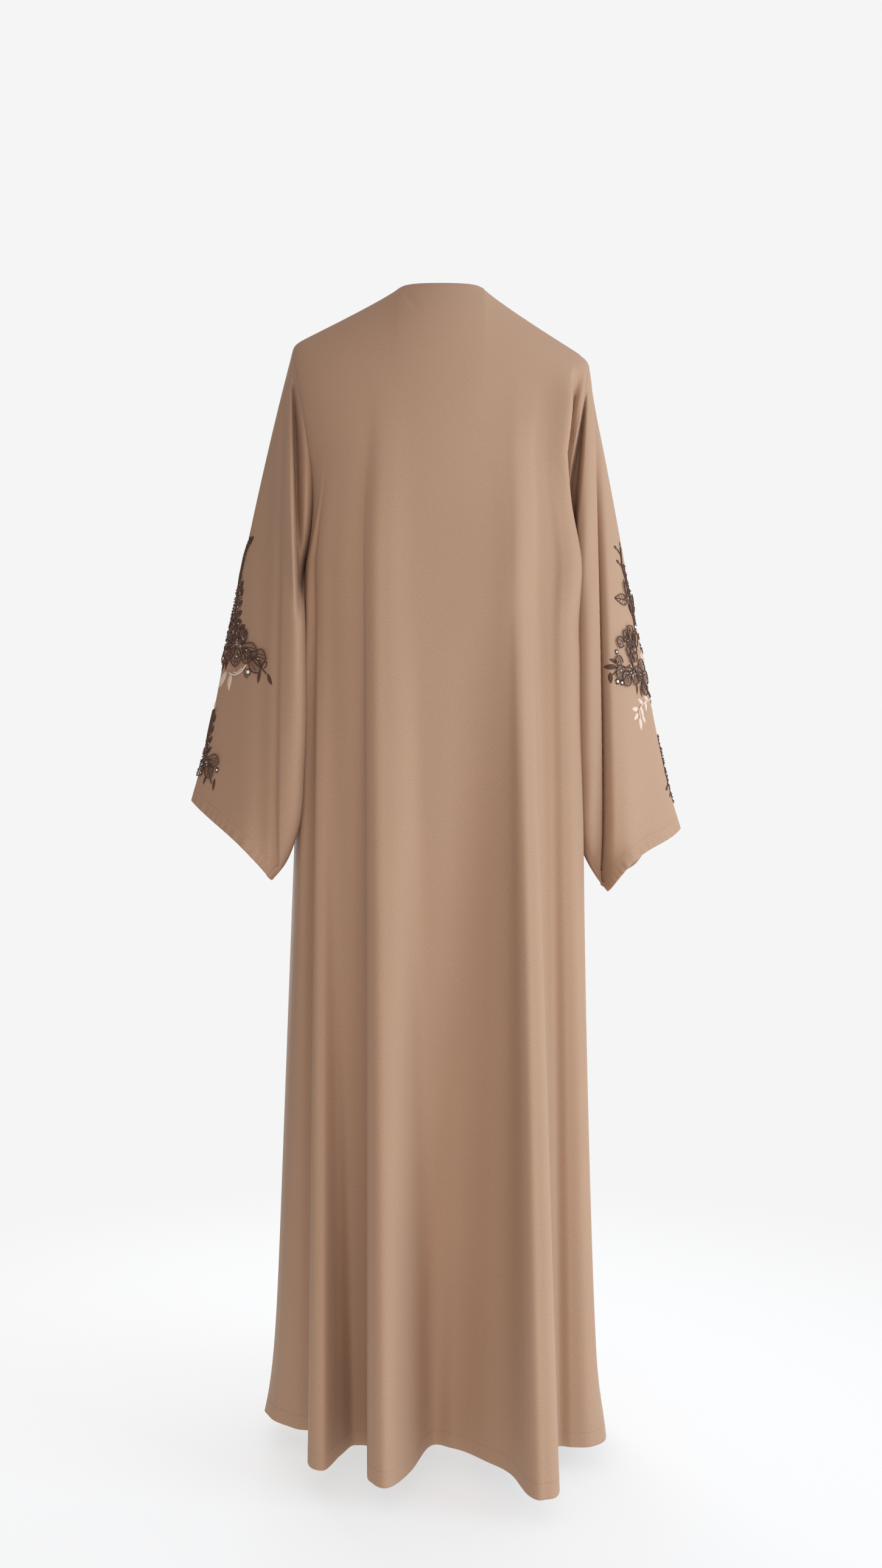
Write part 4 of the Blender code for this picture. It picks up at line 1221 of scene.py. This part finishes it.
def add_open_leaf(mesh, base, angle, length, width):
    """A leaf drawn with cords alone: a rim that ends in a point, a middle vein and slanting side veins."""

    def places(share, side):
        return on_ways(base, angle, length * share, side * width / 2 * np.sin(math.pi * share**OPEN_LEAF_FULLNESS))

    share = np.linspace(0, 1, PETAL_ROWS + 1)
    out = np.linspace(0, 1, OPEN_LEAF_VEIN_POINTS)
    add_cord(mesh, places(share * OPEN_LEAF_MIDDLE_END, 0 * share), RIM_RADIUS)
    for side in (-1, 1):
        add_cord(mesh, places(share, side + 0 * share), RIM_RADIUS)
        for start in OPEN_LEAF_VEINS:
            vein = places(start + OPEN_LEAF_VEIN_RISE * out, side * OPEN_LEAF_VEIN_REACH * out)
            add_cord(mesh, vein, VEIN_RADIUS)

# %% Beads, sequins and stones
BEAD_RADIUS = 0.00105
BEAD_HEIGHT = 0.0004
BEAD_SEAT = 0.8
FIELD_BEAD_HEIGHT = 0.0009
STONE_RIM = 0.0008
RIM_POINTS = 13
ROW_SPACING = 0.0026
ROW_STRAY = 0.0005
ROW_STONE_EVERY = 4
ROW_STONE_RADIUS = 0.0017
FIELD_GAP = 0.0024
FIELD_TRIES = 6
SEQUIN_SHARE = 0.25
SEQUIN_RADII = (0.0013, 0.0018)
SEQUIN_TILT = 0.4
ROW_BEAD_SIZES = (0.8, 1.15)
FIELD_BEAD_SIZES = (0.85, 1.2)


def add_bead(mesh, at, radius, height):
    verts = bmesh.ops.create_uvsphere(mesh, u_segments=7, v_segments=5, radius=radius)["verts"]
    bmesh.ops.translate(mesh, verts=verts, vec=(*at, height + radius * BEAD_SEAT))
    in_flat(verts, BEAD)


def add_disc(mesh, at, radius, material_index, top, depth, segments, height, tilt=0.0):
    """A cut stone or a cupped sequin: a low cone with a flat top."""
    verts = bmesh.ops.create_cone(
        mesh, cap_ends=True, segments=segments, radius1=radius, radius2=radius * top, depth=depth
    )["verts"]
    bmesh.ops.rotate(mesh, verts=verts, cent=(0, 0, 0), matrix=Matrix.Rotation(tilt, 3, "X"))
    bmesh.ops.translate(mesh, verts=verts, vec=(*at, height + depth / 2))
    in_flat(verts, material_index)


def add_sequin(mesh, at, radius, tilt):
    add_disc(mesh, at, radius, SEQUIN, top=0.55, depth=0.0004, segments=9, height=0.0009, tilt=tilt)


def add_stone(mesh, at, radius):
    add_disc(mesh, at, radius, STONE, top=0.58, depth=radius * 0.55, segments=8, height=0.0008)


def add_rimmed_stone(mesh, at, radius):
    """A stone with a ring of dark cord round it."""
    add_stone(mesh, at, radius)
    angle = np.linspace(0, 2 * math.pi, RIM_POINTS)
    ring = np.stack([np.cos(angle), np.sin(angle)], axis=-1) * (radius + STONE_RIM)
    add_cord(mesh, at + ring, STONE_RIM)


def bead_row(mesh, line, chance, aside):
    """Beads at both sides of a line, with a small stone in place of every fourth."""
    points = smooth_line(line, ROW_SPACING)
    along = unit(np.gradient(points, axis=0))
    for i, (point, way) in enumerate(zip(points, along)):
        off = aside * (1 if i % 2 else -1) + chance.uniform(-ROW_STRAY, ROW_STRAY)
        at = point + np.array([-way[1], way[0]]) * off
        if i % ROW_STONE_EVERY == ROW_STONE_EVERY - 1:
            add_stone(mesh, at, ROW_STONE_RADIUS)
        else:
            add_bead(mesh, at, BEAD_RADIUS * chance.uniform(*ROW_BEAD_SIZES), BEAD_HEIGHT)


def bead_field(mesh, centre, reach, count, chance):
    """Beads and sequins scattered over an oval, none on top of another."""
    placed = []
    for _ in range(count * FIELD_TRIES):
        if len(placed) == count:
            break
        angle, out = chance.uniform(0, 2 * math.pi), math.sqrt(chance.random())
        at = (centre[0] + reach[0] * out * math.cos(angle), centre[1] + reach[1] * out * math.sin(angle))
        if any(math.dist(at, other) < FIELD_GAP for other in placed):
            continue
        placed.append(at)
        if chance.random() < SEQUIN_SHARE:
            add_sequin(mesh, at, chance.uniform(*SEQUIN_RADII), chance.uniform(-SEQUIN_TILT, SEQUIN_TILT))
        else:
            add_bead(mesh, at, BEAD_RADIUS * chance.uniform(*FIELD_BEAD_SIZES), FIELD_BEAD_HEIGHT)

# %% [markdown]
# ## Four sprays
#
# Each sleeve has a tall spray above and a short one at the cuff. The tall one starts as a beaded stem, gathers into a
# beaded ground with a sheer flower, and ends in dark drops and blush leaves. A table lists each kind of element with
# its flat place, way, length and width, and the two sleeves have their own, as hand work differs from side to side.
# Every spray runs on over the outer line to the front of the sleeve.

# %% The flat work of a spray
TENTHS_IN_A_METRE = 10000


def metres(*tenths):
    """Lengths in metres from tenths of a millimetre, in which the tables give them."""
    return np.array(tenths) / TENTHS_IN_A_METRE


def work_spray(parts, seed):
    """Builds a spray flat from its table, each element on a small mesh of its own, and joins them."""
    chance = random.Random(seed)
    worked = []

    def bench():
        worked.append(bmesh.new())
        worked[-1].loops.layers.uv.new("Thread")
        return worked[-1]

    for x, y, angle, *size in parts.get("open leaves", ()):
        add_open_leaf(bench(), metres(x, y), angle, *metres(*size))
    for x, y, angle, *size, veins in parts["petals"]:
        add_petal(bench(), metres(x, y), angle, *metres(*size), veins)
    for places, radius, thread, bead_offset in parts["cords"]:
        points = metres(*places).reshape(-1, 2)
        add_cord(bench(), points, radius / TENTHS_IN_A_METRE, thread)
        if bead_offset:
            bead_row(bench(), points, chance, bead_offset / TENTHS_IN_A_METRE)
    for x, y, angle, *size, thread, bend in parts["leaves"]:
        add_leaf(bench(), metres(x, y), angle, *metres(*size), thread, bend)
    for x, y, reach_x, reach_y, count in parts["fields"]:
        bead_field(bench(), metres(x, y), metres(reach_x, reach_y), count, chance)
    for x, y, radius in parts["stones"]:
        add_rimmed_stone(bench(), metres(x, y), radius / TENTHS_IN_A_METRE)

    whole = bmesh.new()
    for mesh in worked:
        data = bpy.data.meshes.new("element")
        mesh.to_mesh(data)
        mesh.free()
        whole.from_mesh(data)
        bpy.data.meshes.remove(data)
    return whole


def sew_on(mesh, node, measure):
    """Lays flat work on a sleeve and makes it a piece that stands for the frame's plain spray."""
    mesh.verts.ensure_lookup_table()
    laid = measure.lay(*np.array([vert.co for vert in mesh.verts]).T)
    for vert, place in zip(mesh.verts, laid):
        vert.co = place
    if not measure.is_right:
        bmesh.ops.reverse_faces(mesh, faces=mesh.faces)
    piece = object_from(node + "_work", mesh, SPRAY_MATERIALS[0])
    for material in SPRAY_MATERIALS[1:]:
        piece.data.materials.append(material)
    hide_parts(node)
    finish_piece(piece)
    print(piece.name, "faces:", len(piece.data.polygons))

# %% The left sleeve's sprays
# In these tables a place is across and down, lengths are in tenths of a millimetre and angles in degrees:
# open leaves: place, angle, length, width
# petals: place of the base, angle, length, width, veins
# cords: places, radius, thread, how far beads sit beside the cord
# leaves: place of the middle, angle, length, width, thread, bend
# fields: place of the middle, reach across and down, beads
# stones: place, radius
LEFT_UPPER = {
    "petals": (
        (300, 3740, 152, 220, 180, 3), (260, 3760, -50, 300, 210, 3), (300, 3780, 2, 270, 190, 3),
        (340, 3770, 82, 370, 190, 3), (360, 3810, 64, 280, 170, 2), (560, 3840, 84, 330, 200, 3),
        (520, 3880, 62, 340, 160, 2), (140, 3780, -22, 280, 180, 3), (120, 3520, 40, 220, 160, 2),
        (220, 3720, -88, 340, 220, 3), (-200, 4020, -40, 240, 180, 3), (80, 3180, 165, 160, 100, 1),
        (60, 3400, 20, 200, 140, 2), (-100, 3450, -30, 200, 140, 2),
    ),
    "cords": (
        ((90, 2400, 50, 2510, 20, 2640, 10, 2860, 40, 3050, 60, 3220, 120, 3460, 180, 3680), 16, DARK, 26),
        ((120, 2460, 60, 2540), 8, DARK, 0),
        ((-40, 2580, -40, 2800, -60, 3050, -40, 3300, 20, 3560), 10, DARK, 24),
        ((560, 3880, 720, 3920, 800, 3980, 910, 4045), 8, DARK, 0),
        ((700, 3920, 750, 3970, 772, 4030), 8, DARK, 0),
        ((790, 3970, 830, 3900, 880, 3910, 870, 3960, 830, 3970), 7, DARK, 0),
        ((520, 4010, 500, 4070, 540, 4120, 600, 4130), 6, DARK, 0),
        ((530, 3970, 440, 4080, 310, 4130, 200, 4120), 13, BLUSH, 0),
        ((460, 4020, 380, 4090, 280, 4100), 11, BLUSH, 0),
        ((-140, 3720, -300, 3740, -440, 3660), 8, DARK, 0),
        ((-180, 3780, -360, 3860, -520, 3840), 8, DARK, 0),
    ),
    "leaves": (
        (70, 3300, 9, 1000, 250, ORGANZA, 0), (120, 3600, 30, 500, 400, ORGANZA, 0),
        (90, 3010, 150, 120, 70, DARK, 0.3), (120, 3130, 150, 130, 80, DARK, 0.3),
        (140, 3250, 135, 130, 90, DARK, 0.2), (165, 3370, 120, 130, 100, DARK, 0),
        (200, 3480, 110, 120, 100, DARK, 0), (290, 3540, 130, 130, 110, DARK, 0), (360, 3600, 95, 130, 110, DARK, 0),
        (350, 3690, 60, 130, 110, DARK, 0), (260, 3640, 140, 140, 100, DARK, 0),
        (-90, 3250, -150, 120, 70, DARK, 0.2), (-120, 3420, -120, 120, 80, DARK, 0.2),
        (773, 4094, 4, 165, 62, DARK, 0), (975, 4098, 42, 175, 68, DARK, 0.1), (40, 4040, -20, 200, 60, DARK, 0.2),
        (110, 4020, -4, 170, 50, DARK, 0), (80, 4215, -22, 240, 105, BLUSH, 0.2),
        (240, 4230, 4, 220, 88, BLUSH, 0.25), (-170, 4190, -40, 200, 90, BLUSH, 0.2),
        (-400, 4060, -50, 180, 70, DARK, 0.2), (-480, 3630, -120, 120, 55, DARK, 0.1),
        (-570, 3840, -95, 130, 55, DARK, 0.1), (120, 2430, 160, 80, 35, DARK, 0.2),
    ),
    "fields": (
        (60, 3580, 150, 220, 84), (220, 3720, 160, 100, 44), (-140, 3780, 160, 120, 40), (60, 3250, 70, 260, 60),
        (460, 3860, 140, 60, 16), (0, 3950, 160, 100, 22),
    ),
    "stones": (
        (584, 4060, 31), (300, 3900, 16), (470, 3800, 15), (-220, 3900, 28), (10, 2660, 13), (-5, 2840, 14),
        (-20, 3060, 14), (-10, 3240, 20), (70, 3300, 14), (40, 3480, 14), (120, 3600, 15), (700, 3880, 13),
    ),
}
LEFT_LOWER = {
    "petals": (
        (140, 5230, 92, 260, 170, 3), (140, 5260, 45, 260, 160, 3), (100, 5270, -30, 240, 170, 3),
        (80, 5220, -85, 220, 160, 3),
    ),
    "cords": (
        ((40, 4600, 30, 4760, 30, 4920, 60, 5100, 110, 5260), 18, DARK, 32),
        ((-50, 4700, -60, 4880, -30, 5050, 40, 5210), 10, DARK, 24),
        ((160, 5300, 260, 5410, 340, 5500), 8, DARK, 0),
        ((120, 5320, 170, 5420), 8, DARK, 0),
    ),
    "leaves": (
        (10, 4560, 172, 140, 55, BLUSH, 0.2), (-100, 4620, -160, 130, 55, BLUSH, 0.2),
        (30, 4900, 3, 640, 140, ORGANZA, 0), (80, 4720, 165, 130, 65, DARK, 0.1), (85, 4860, 160, 130, 65, DARK, 0.1),
        (95, 4990, 150, 130, 65, DARK, 0.1), (120, 5110, 140, 130, 65, DARK, 0.1),
        (-100, 4960, -150, 120, 50, DARK, 0.1), (380, 5500, 12, 160, 55, DARK, 0.1),
        (190, 5480, -6, 140, 50, DARK, 0), (-60, 5500, -30, 160, 55, DARK, 0.1),
        (-200, 5330, -70, 150, 60, BLUSH, 0.1),
    ),
    "fields": (
        (20, 5080, 60, 160, 26), (80, 5270, 100, 80, 24),
    ),
    "stones": (
        (372, 5318, 19), (80, 5420, 18),
    ),
}

# %% The right sleeve's sprays
RIGHT_UPPER = {
    "open leaves": (
        (340, 3000, 98, 340, 135),
    ),
    "petals": (
        (378, 3526, 150, 270, 220, 3), (517, 3486, 135, 180, 150, 2), (637, 3526, 112, 180, 140, 2),
        (334, 3586, -170, 240, 180, 3), (482, 3621, 175, 160, 140, 1), (482, 3621, 103, 170, 140, 1),
        (482, 3621, 31, 160, 140, 1), (482, 3621, -41, 160, 140, 1), (482, 3621, -113, 160, 140, 1),
        (754, 3756, 130, 150, 120, 2), (683, 3826, 78, 240, 180, 3), (637, 3826, 38, 250, 180, 3),
        (517, 3806, 0, 240, 180, 3), (467, 3806, -45, 260, 180, 3), (313, 3926, -75, 240, 170, 3),
        (378, 3866, -115, 240, 170, 3), (334, 3986, -20, 220, 140, 2), (313, 2966, 155, 240, 90, 1),
        (229, 3186, 160, 240, 100, 1), (160, 3146, -165, 260, 100, 1), (45, 3586, -80, 260, 180, 3),
        (-54, 3886, -60, 260, 180, 3),
    ),
    "cords": (
        ((276, 2326, 313, 2456, 339, 2579, 273, 2758, 224, 2960, 226, 3164, 205, 3316), 11, DARK, 0),
        ((303, 2436, 373, 2386, 417, 2351), 8, DARK, 0),
        ((338, 2586, 389, 2551, 423, 2526), 8, DARK, 0),
        ((260, 2546, 212, 2746, 160, 2956, 149, 3166, 143, 3306), 8, DARK, 18),
        ((271, 2866, 356, 2946, 467, 2986), 8, DARK, 0),
        ((206, 3366, 313, 3486, 445, 3586), 9, DARK, 0),
        ((543, 3646, 517, 3766, 389, 3921, 229, 4076, 62, 4221), 12, DARK, 0),
        ((566, 3806, 730, 3796, 890, 3786), 8, DARK, 0),
        ((824, 3806, 918, 3846, 956, 3866), 7, DARK, 0),
        ((85, 4236, 260, 4250, 430, 4280, 525, 4356, 519, 4450), 9, BLUSH, 0),
        ((160, 3626, 91, 3766, 5, 3926), 14, BLUSH, 0),
        ((91, 3416, -94, 3486, -253, 3466), 9, DARK, 22),
        ((25, 4016, -154, 4086, -293, 4046), 8, DARK, 0),
    ),
    "leaves": (
        (445, 2336, 110, 90, 48, DARK, 0.1), (450, 2511, 112, 90, 50, DARK, 0.1), (266, 2296, 176, 80, 36, DARK, 0.1),
        (947, 3766, 98, 170, 75, DARK, 0.1), (975, 3896, 10, 140, 62, DARK, 0), (890, 3701, 120, 120, 55, DARK, 0.1),
        (15, 4266, -38, 150, 52, DARK, 0.1), (478, 4076, 14, 160, 60, DARK, 0.1), (378, 4116, 4, 160, 58, DARK, 0.1),
        (313, 4046, 30, 120, 48, DARK, 0), (114, 4076, -60, 130, 52, DARK, 0), (334, 2776, 150, 130, 50, DARK, 0.1),
        (297, 3086, 150, 140, 55, DARK, 0.1), (126, 3026, -150, 140, 52, DARK, 0.1),
        (126, 3736, -12, 220, 65, BLUSH, 0.2), (5, 3846, -24, 200, 60, BLUSH, 0.2),
        (253, 4212, 120, 150, 60, BLUSH, 0.1), (306, 4298, 10, 160, 60, BLUSH, 0.1),
        (427, 4240, 125, 150, 62, BLUSH, 0.1), (607, 4312, 95, 160, 66, BLUSH, 0.1),
        (438, 4370, -6, 160, 62, BLUSH, 0.1), (607, 4406, 66, 150, 64, BLUSH, 0.1),
        (427, 4456, -20, 130, 56, BLUSH, 0.1), (525, 4500, 5, 170, 76, BLUSH, 0),
        (45, 4356, -40, 170, 66, BLUSH, 0.1), (-302, 3446, -100, 140, 60, DARK, 0.1),
        (-342, 4036, -80, 150, 60, DARK, 0.1), (-213, 4186, -20, 160, 65, BLUSH, 0.1),
    ),
    "fields": (
        (482, 3607, 45, 45, 14), (578, 3866, 140, 90, 26), (271, 3966, 120, 100, 20), (183, 3066, 30, 220, 18),
        (517, 3486, 120, 80, 14), (-74, 3686, 120, 140, 20),
    ),
    "stones": (
        (205, 3324, 25), (892, 3949, 22), (824, 3971, 20), (818, 3600, 17), (543, 3486, 15), (619, 3466, 14),
        (590, 3871, 15), (631, 3901, 14), (555, 3911, 13), (801, 3826, 14), (-94, 3666, 26),
    ),
}
RIGHT_LOWER = {
    "petals": (
        (-43, 5099, -80, 200, 140, 3), (-33, 5139, -30, 220, 140, 3),
    ),
    "cords": (
        ((50, 4699, 32, 4879, 27, 5039, 35, 5244, 22, 5429, 12, 5579), 7, DARK, 15),
        ((35, 5279, 89, 5324, 139, 5354), 8, DARK, 0),
        ((27, 5409, 63, 5439, 86, 5454), 7, DARK, 0),
    ),
    "leaves": (
        (56, 4639, 170, 120, 50, BLUSH, 0.1), (-23, 4739, -150, 120, 50, BLUSH, 0.1),
        (168, 5370, 72, 100, 55, DARK, 0), (109, 5469, 70, 80, 42, DARK, 0), (63, 5199, 150, 110, 45, DARK, 0.1),
        (-43, 4939, -150, 130, 52, DARK, 0.1), (-43, 5459, -30, 130, 52, DARK, 0.1),
        (-223, 5279, -60, 150, 60, BLUSH, 0.1),
    ),
    "fields": (
        (17, 4979, 40, 200, 16), (-53, 5139, 60, 50, 12),
    ),
    "stones": (
        (32, 4829, 13), (-93, 5129, 20),
    ),
}

# %% Work and sew on the sprays
SPRAYS = (
    # side, level, table, seed
    ("left", "upper", LEFT_UPPER, 11),
    ("left", "lower", LEFT_LOWER, 12),
    ("right", "upper", RIGHT_UPPER, 13),
    ("right", "lower", RIGHT_LOWER, 14),
)
for side, level, parts, seed in SPRAYS:
    sew_on(work_spray(parts, seed), "spray_" + level + "_" + side, measures[side])

# %% [markdown]
# ## Rows of stitches
#
# A turned edge is held down by a row of small stitches in thread of the cloth's own colour. On crepe they sink in a
# little and show only as a faint dotted line beside the edge. Each stitch is a short plump bead of thread, and the
# stitches of a panel are one joined mesh, since there are some hundreds of them. Their thread is a shade darker than
# the cloth and fuzzy, worked out on the object's own coordinates.

# %% The sewing thread
def make_sewing_thread():
    material, tree, shader = new_material("sewing_thread")
    fuzz = object_noise(tree, 1400.0, 2.0)
    set_inputs(
        tree,
        shader,
        Base_Color=mixed_colour(tree, fuzz, (0.27, 0.165, 0.11), (0.42, 0.27, 0.185)),
        Normal=raised_normal(tree, fuzz, 0.5, 0.0001),
        Roughness=0.6,
        Specular_IOR_Level=0.2,
    )
    return material

# %% Sewing a row
STITCH_PITCH = 0.0036
STITCH_LENGTH = 0.0025
STITCH_THICKNESS = 0.00046
ROW_MARGIN = 2 * STITCH_PITCH


def one_stitch():
    """The points and faces of a stitch that lies along x with its top towards z."""
    mesh = bmesh.new()
    bmesh.ops.create_uvsphere(mesh, u_segments=6, v_segments=4, radius=0.5)
    bmesh.ops.rotate(mesh, verts=mesh.verts, cent=(0, 0, 0), matrix=Matrix.Rotation(math.pi / 2, 3, "Y"))
    bmesh.ops.scale(mesh, verts=mesh.verts, vec=(STITCH_LENGTH, STITCH_THICKNESS, STITCH_THICKNESS))
    places = np.array([vert.co for vert in mesh.verts])
    faces = [[vert.index for vert in face.verts] for face in mesh.faces]
    mesh.free()
    return places, faces


def line_in_from(points, edge, distance):
    """A line on a panel at a distance in from one of its edges, and the way outwards along it."""
    out = edge_first(outward_of(points), edge)
    points = edge_first(points, edge)
    gone = spans(points).cumsum(axis=0).mean(axis=1)
    return along_edge(points, distance), out[1 + int((gone < distance).sum())]


def sew_rows(node, rows, material):
    """One joined mesh with every stitch of a panel's rows."""
    stitch, stitch_faces = one_stitch()
    placed, faces = [], []
    for edge, distance in rows:
        line, out = line_in_from(grids[node], edge, distance)
        gone = gone_along(line)

        def read(at, values):
            return np.stack([np.interp(at, gone, column) for column in values.T], axis=-1)

        at = np.arange(ROW_MARGIN, gone[-1] - ROW_MARGIN, STITCH_PITCH)
        centre, up = read(at, line), unit(read(at, out))
        along = unit(read(at + STITCH_PITCH / 4, line) - centre)
        for middle, *ways in zip(centre + up * CLOTH / 2, along, np.cross(up, along), up):
            faces += [[corner + len(placed) * len(stitch) for corner in face] for face in stitch_faces]
            placed.append(middle + stitch @ np.array(ways))
    data = bpy.data.meshes.new(node + "_stitches")
    data.from_pydata(np.concatenate(placed).tolist(), [], faces)
    print(data.name, "stitches:", len(placed))
    return place_piece(data.name, data, material)

# %% Sewing down the turned edges
NECK_ROW, FRONT_ROW, HEM_ROW, CUFF_ROW = 0.0075, 0.013, 0.018, 0.016
STITCHED_EDGES = {
    "back": (("top", NECK_ROW), ("bottom", HEM_ROW)),
    "front_left": (("top", NECK_ROW), ("bottom", HEM_ROW), ("start", FRONT_ROW)),
    "front_right": (("top", NECK_ROW), ("bottom", HEM_ROW), ("end", FRONT_ROW)),
    "sleeve_left": (("bottom", CUFF_ROW),),
    "sleeve_right": (("bottom", CUFF_ROW),),
}
sewing_thread = make_sewing_thread()
for node, rows in STITCHED_EDGES.items():
    finish_piece(sew_rows(node, rows, sewing_thread))

# %% [markdown]
# ## Floor, light and camera
#
# The cloak is shown on white: a pale floor that melts into a pale surround, so that no horizon cuts the picture, and
# a large soft light beside the camera that rakes the folds a little. The surround is brighter to the eye than as a
# lamp, because a cloth lit evenly from all sides would lose its folds.

# %% The floor
FLOOR_Z = HEM_Z - 0.03
FLOOR_RADIUS = 3.2
FLOOR_SIDES = 96
# The distances from the middle at which the floor starts to melt into the surround and is gone.
FLOOR_FADE = (0.35, 1.4)


def make_floor():
    mesh = bmesh.new()
    bmesh.ops.create_circle(mesh, cap_ends=True, segments=FLOOR_SIDES, radius=FLOOR_RADIUS)
    bmesh.ops.translate(mesh, verts=mesh.verts, vec=(0, 0, FLOOR_Z))
    material, tree, shader = new_material("floor")
    place = tree.nodes.new("ShaderNodeTexCoord").outputs["Object"]
    from_middle = add_node(tree, "ShaderNodeMapping", Vector=place, Location=(0, 0, -FLOOR_Z)).outputs["Vector"]
    reach = tree.nodes.new("ShaderNodeVectorMath")
    reach.operation = "LENGTH"
    tree.links.new(from_middle, reach.inputs[0])
    fade = add_node(tree, "ShaderNodeMapRange", Value=reach.outputs["Value"], To_Min=1, To_Max=0)
    fade.interpolation_type = "SMOOTHSTEP"
    fade.inputs["From Min"].default_value, fade.inputs["From Max"].default_value = FLOOR_FADE
    set_inputs(
        tree,
        shader,
        Base_Color=(0.33, 0.34, 0.35),
        Emission_Color=(1.0, 1.0, 1.0),
        Emission_Strength=0.62,
        Roughness=0.9,
        Specular_IOR_Level=0.1,
        Alpha=fade.outputs["Result"],
    )
    object_from("floor", mesh, material)


make_floor()

# %% The surround and the lamps
SURROUND = (0.913, 0.913, 0.915)
FILL = (1.0, 0.93, 0.90)
FILL_STRENGTH = 0.72
FILL_SLOPE = 0.40


def make_surround():
    world = bpy.data.worlds.new("surround")
    world.use_nodes = True
    tree = world.node_tree
    seen = set_inputs(tree, tree.nodes["Background"], Color=SURROUND)
    heading = tree.nodes.new("ShaderNodeTexCoord").outputs["Generated"]
    parts = add_node(tree, "ShaderNodeSeparateXYZ", Vector=heading).outputs
    strength = linked_maths(tree, "MULTIPLY_ADD", parts[0], -FILL_SLOPE, FILL_STRENGTH)
    lit = add_node(tree, "ShaderNodeBackground", Color=FILL, Strength=strength)
    is_seen = tree.nodes.new("ShaderNodeLightPath").outputs["Is Camera Ray"]
    either = add_node(tree, "ShaderNodeMixShader", Fac=is_seen)
    tree.links.new(lit.outputs[0], either.inputs[1])
    tree.links.new(seen.outputs[0], either.inputs[2])
    tree.links.new(either.outputs[0], tree.nodes["World Output"].inputs["Surface"])
    bpy.context.scene.world = world


def make_lamp(name, place, aim, size, watts, colour):
    lamp = bpy.data.lights.new(name, "AREA")
    lamp.shape = "RECTANGLE"
    lamp.size, lamp.size_y = size
    lamp.energy = watts
    lamp.color = colour
    stand = bpy.data.objects.new(name, lamp)
    stand.visible_camera = False
    stand.location = place
    stand.rotation_euler = (Vector(aim) - Vector(place)).to_track_quat("-Z", "Y").to_euler()
    bpy.context.scene.collection.objects.link(stand)


make_surround()
LAMPS = (
    # name, place, aim, size, watts, colour
    ("window", (-2.6, 1.2, -0.2), (0.0, 0.0, -0.6), (1.5, 1.9), 51, (0.595, 0.835, 1.0)),
    ("low_bounce", (0.0, 2.6, -1.3), (0.0, 0.0, -0.7), (3.0, 0.8), 17, (1.0, 0.97, 0.93)),
    ("front_window", (0.7, -2.5, -0.2), (0.0, 0.0, -0.7), (1.5, 2.2), 38, (0.90, 0.97, 1.0)),
    ("front_bounce", (-0.6, -2.4, -1.2), (0.0, 0.0, -0.7), (2.6, 0.8), 12, (1.0, 0.97, 0.93)),
)
for lamp in LAMPS:
    make_lamp(*lamp)
bpy.context.scene.view_settings.view_transform = "Standard"

# %% The camera
CAMERA_DISTANCE = 2.0
CAMERA_Z = -0.616
SENSOR_MM = 36
LENS_MM = 36.75

camera_data = bpy.data.cameras.new("camera")
camera_data.sensor_width = SENSOR_MM
camera_data.lens = LENS_MM
camera = bpy.data.objects.new("camera", camera_data)
camera.location = (0, CAMERA_DISTANCE, CAMERA_Z)
camera.rotation_euler = (math.pi / 2, 0, math.pi)
bpy.context.scene.collection.objects.link(camera)
bpy.context.scene.camera = camera
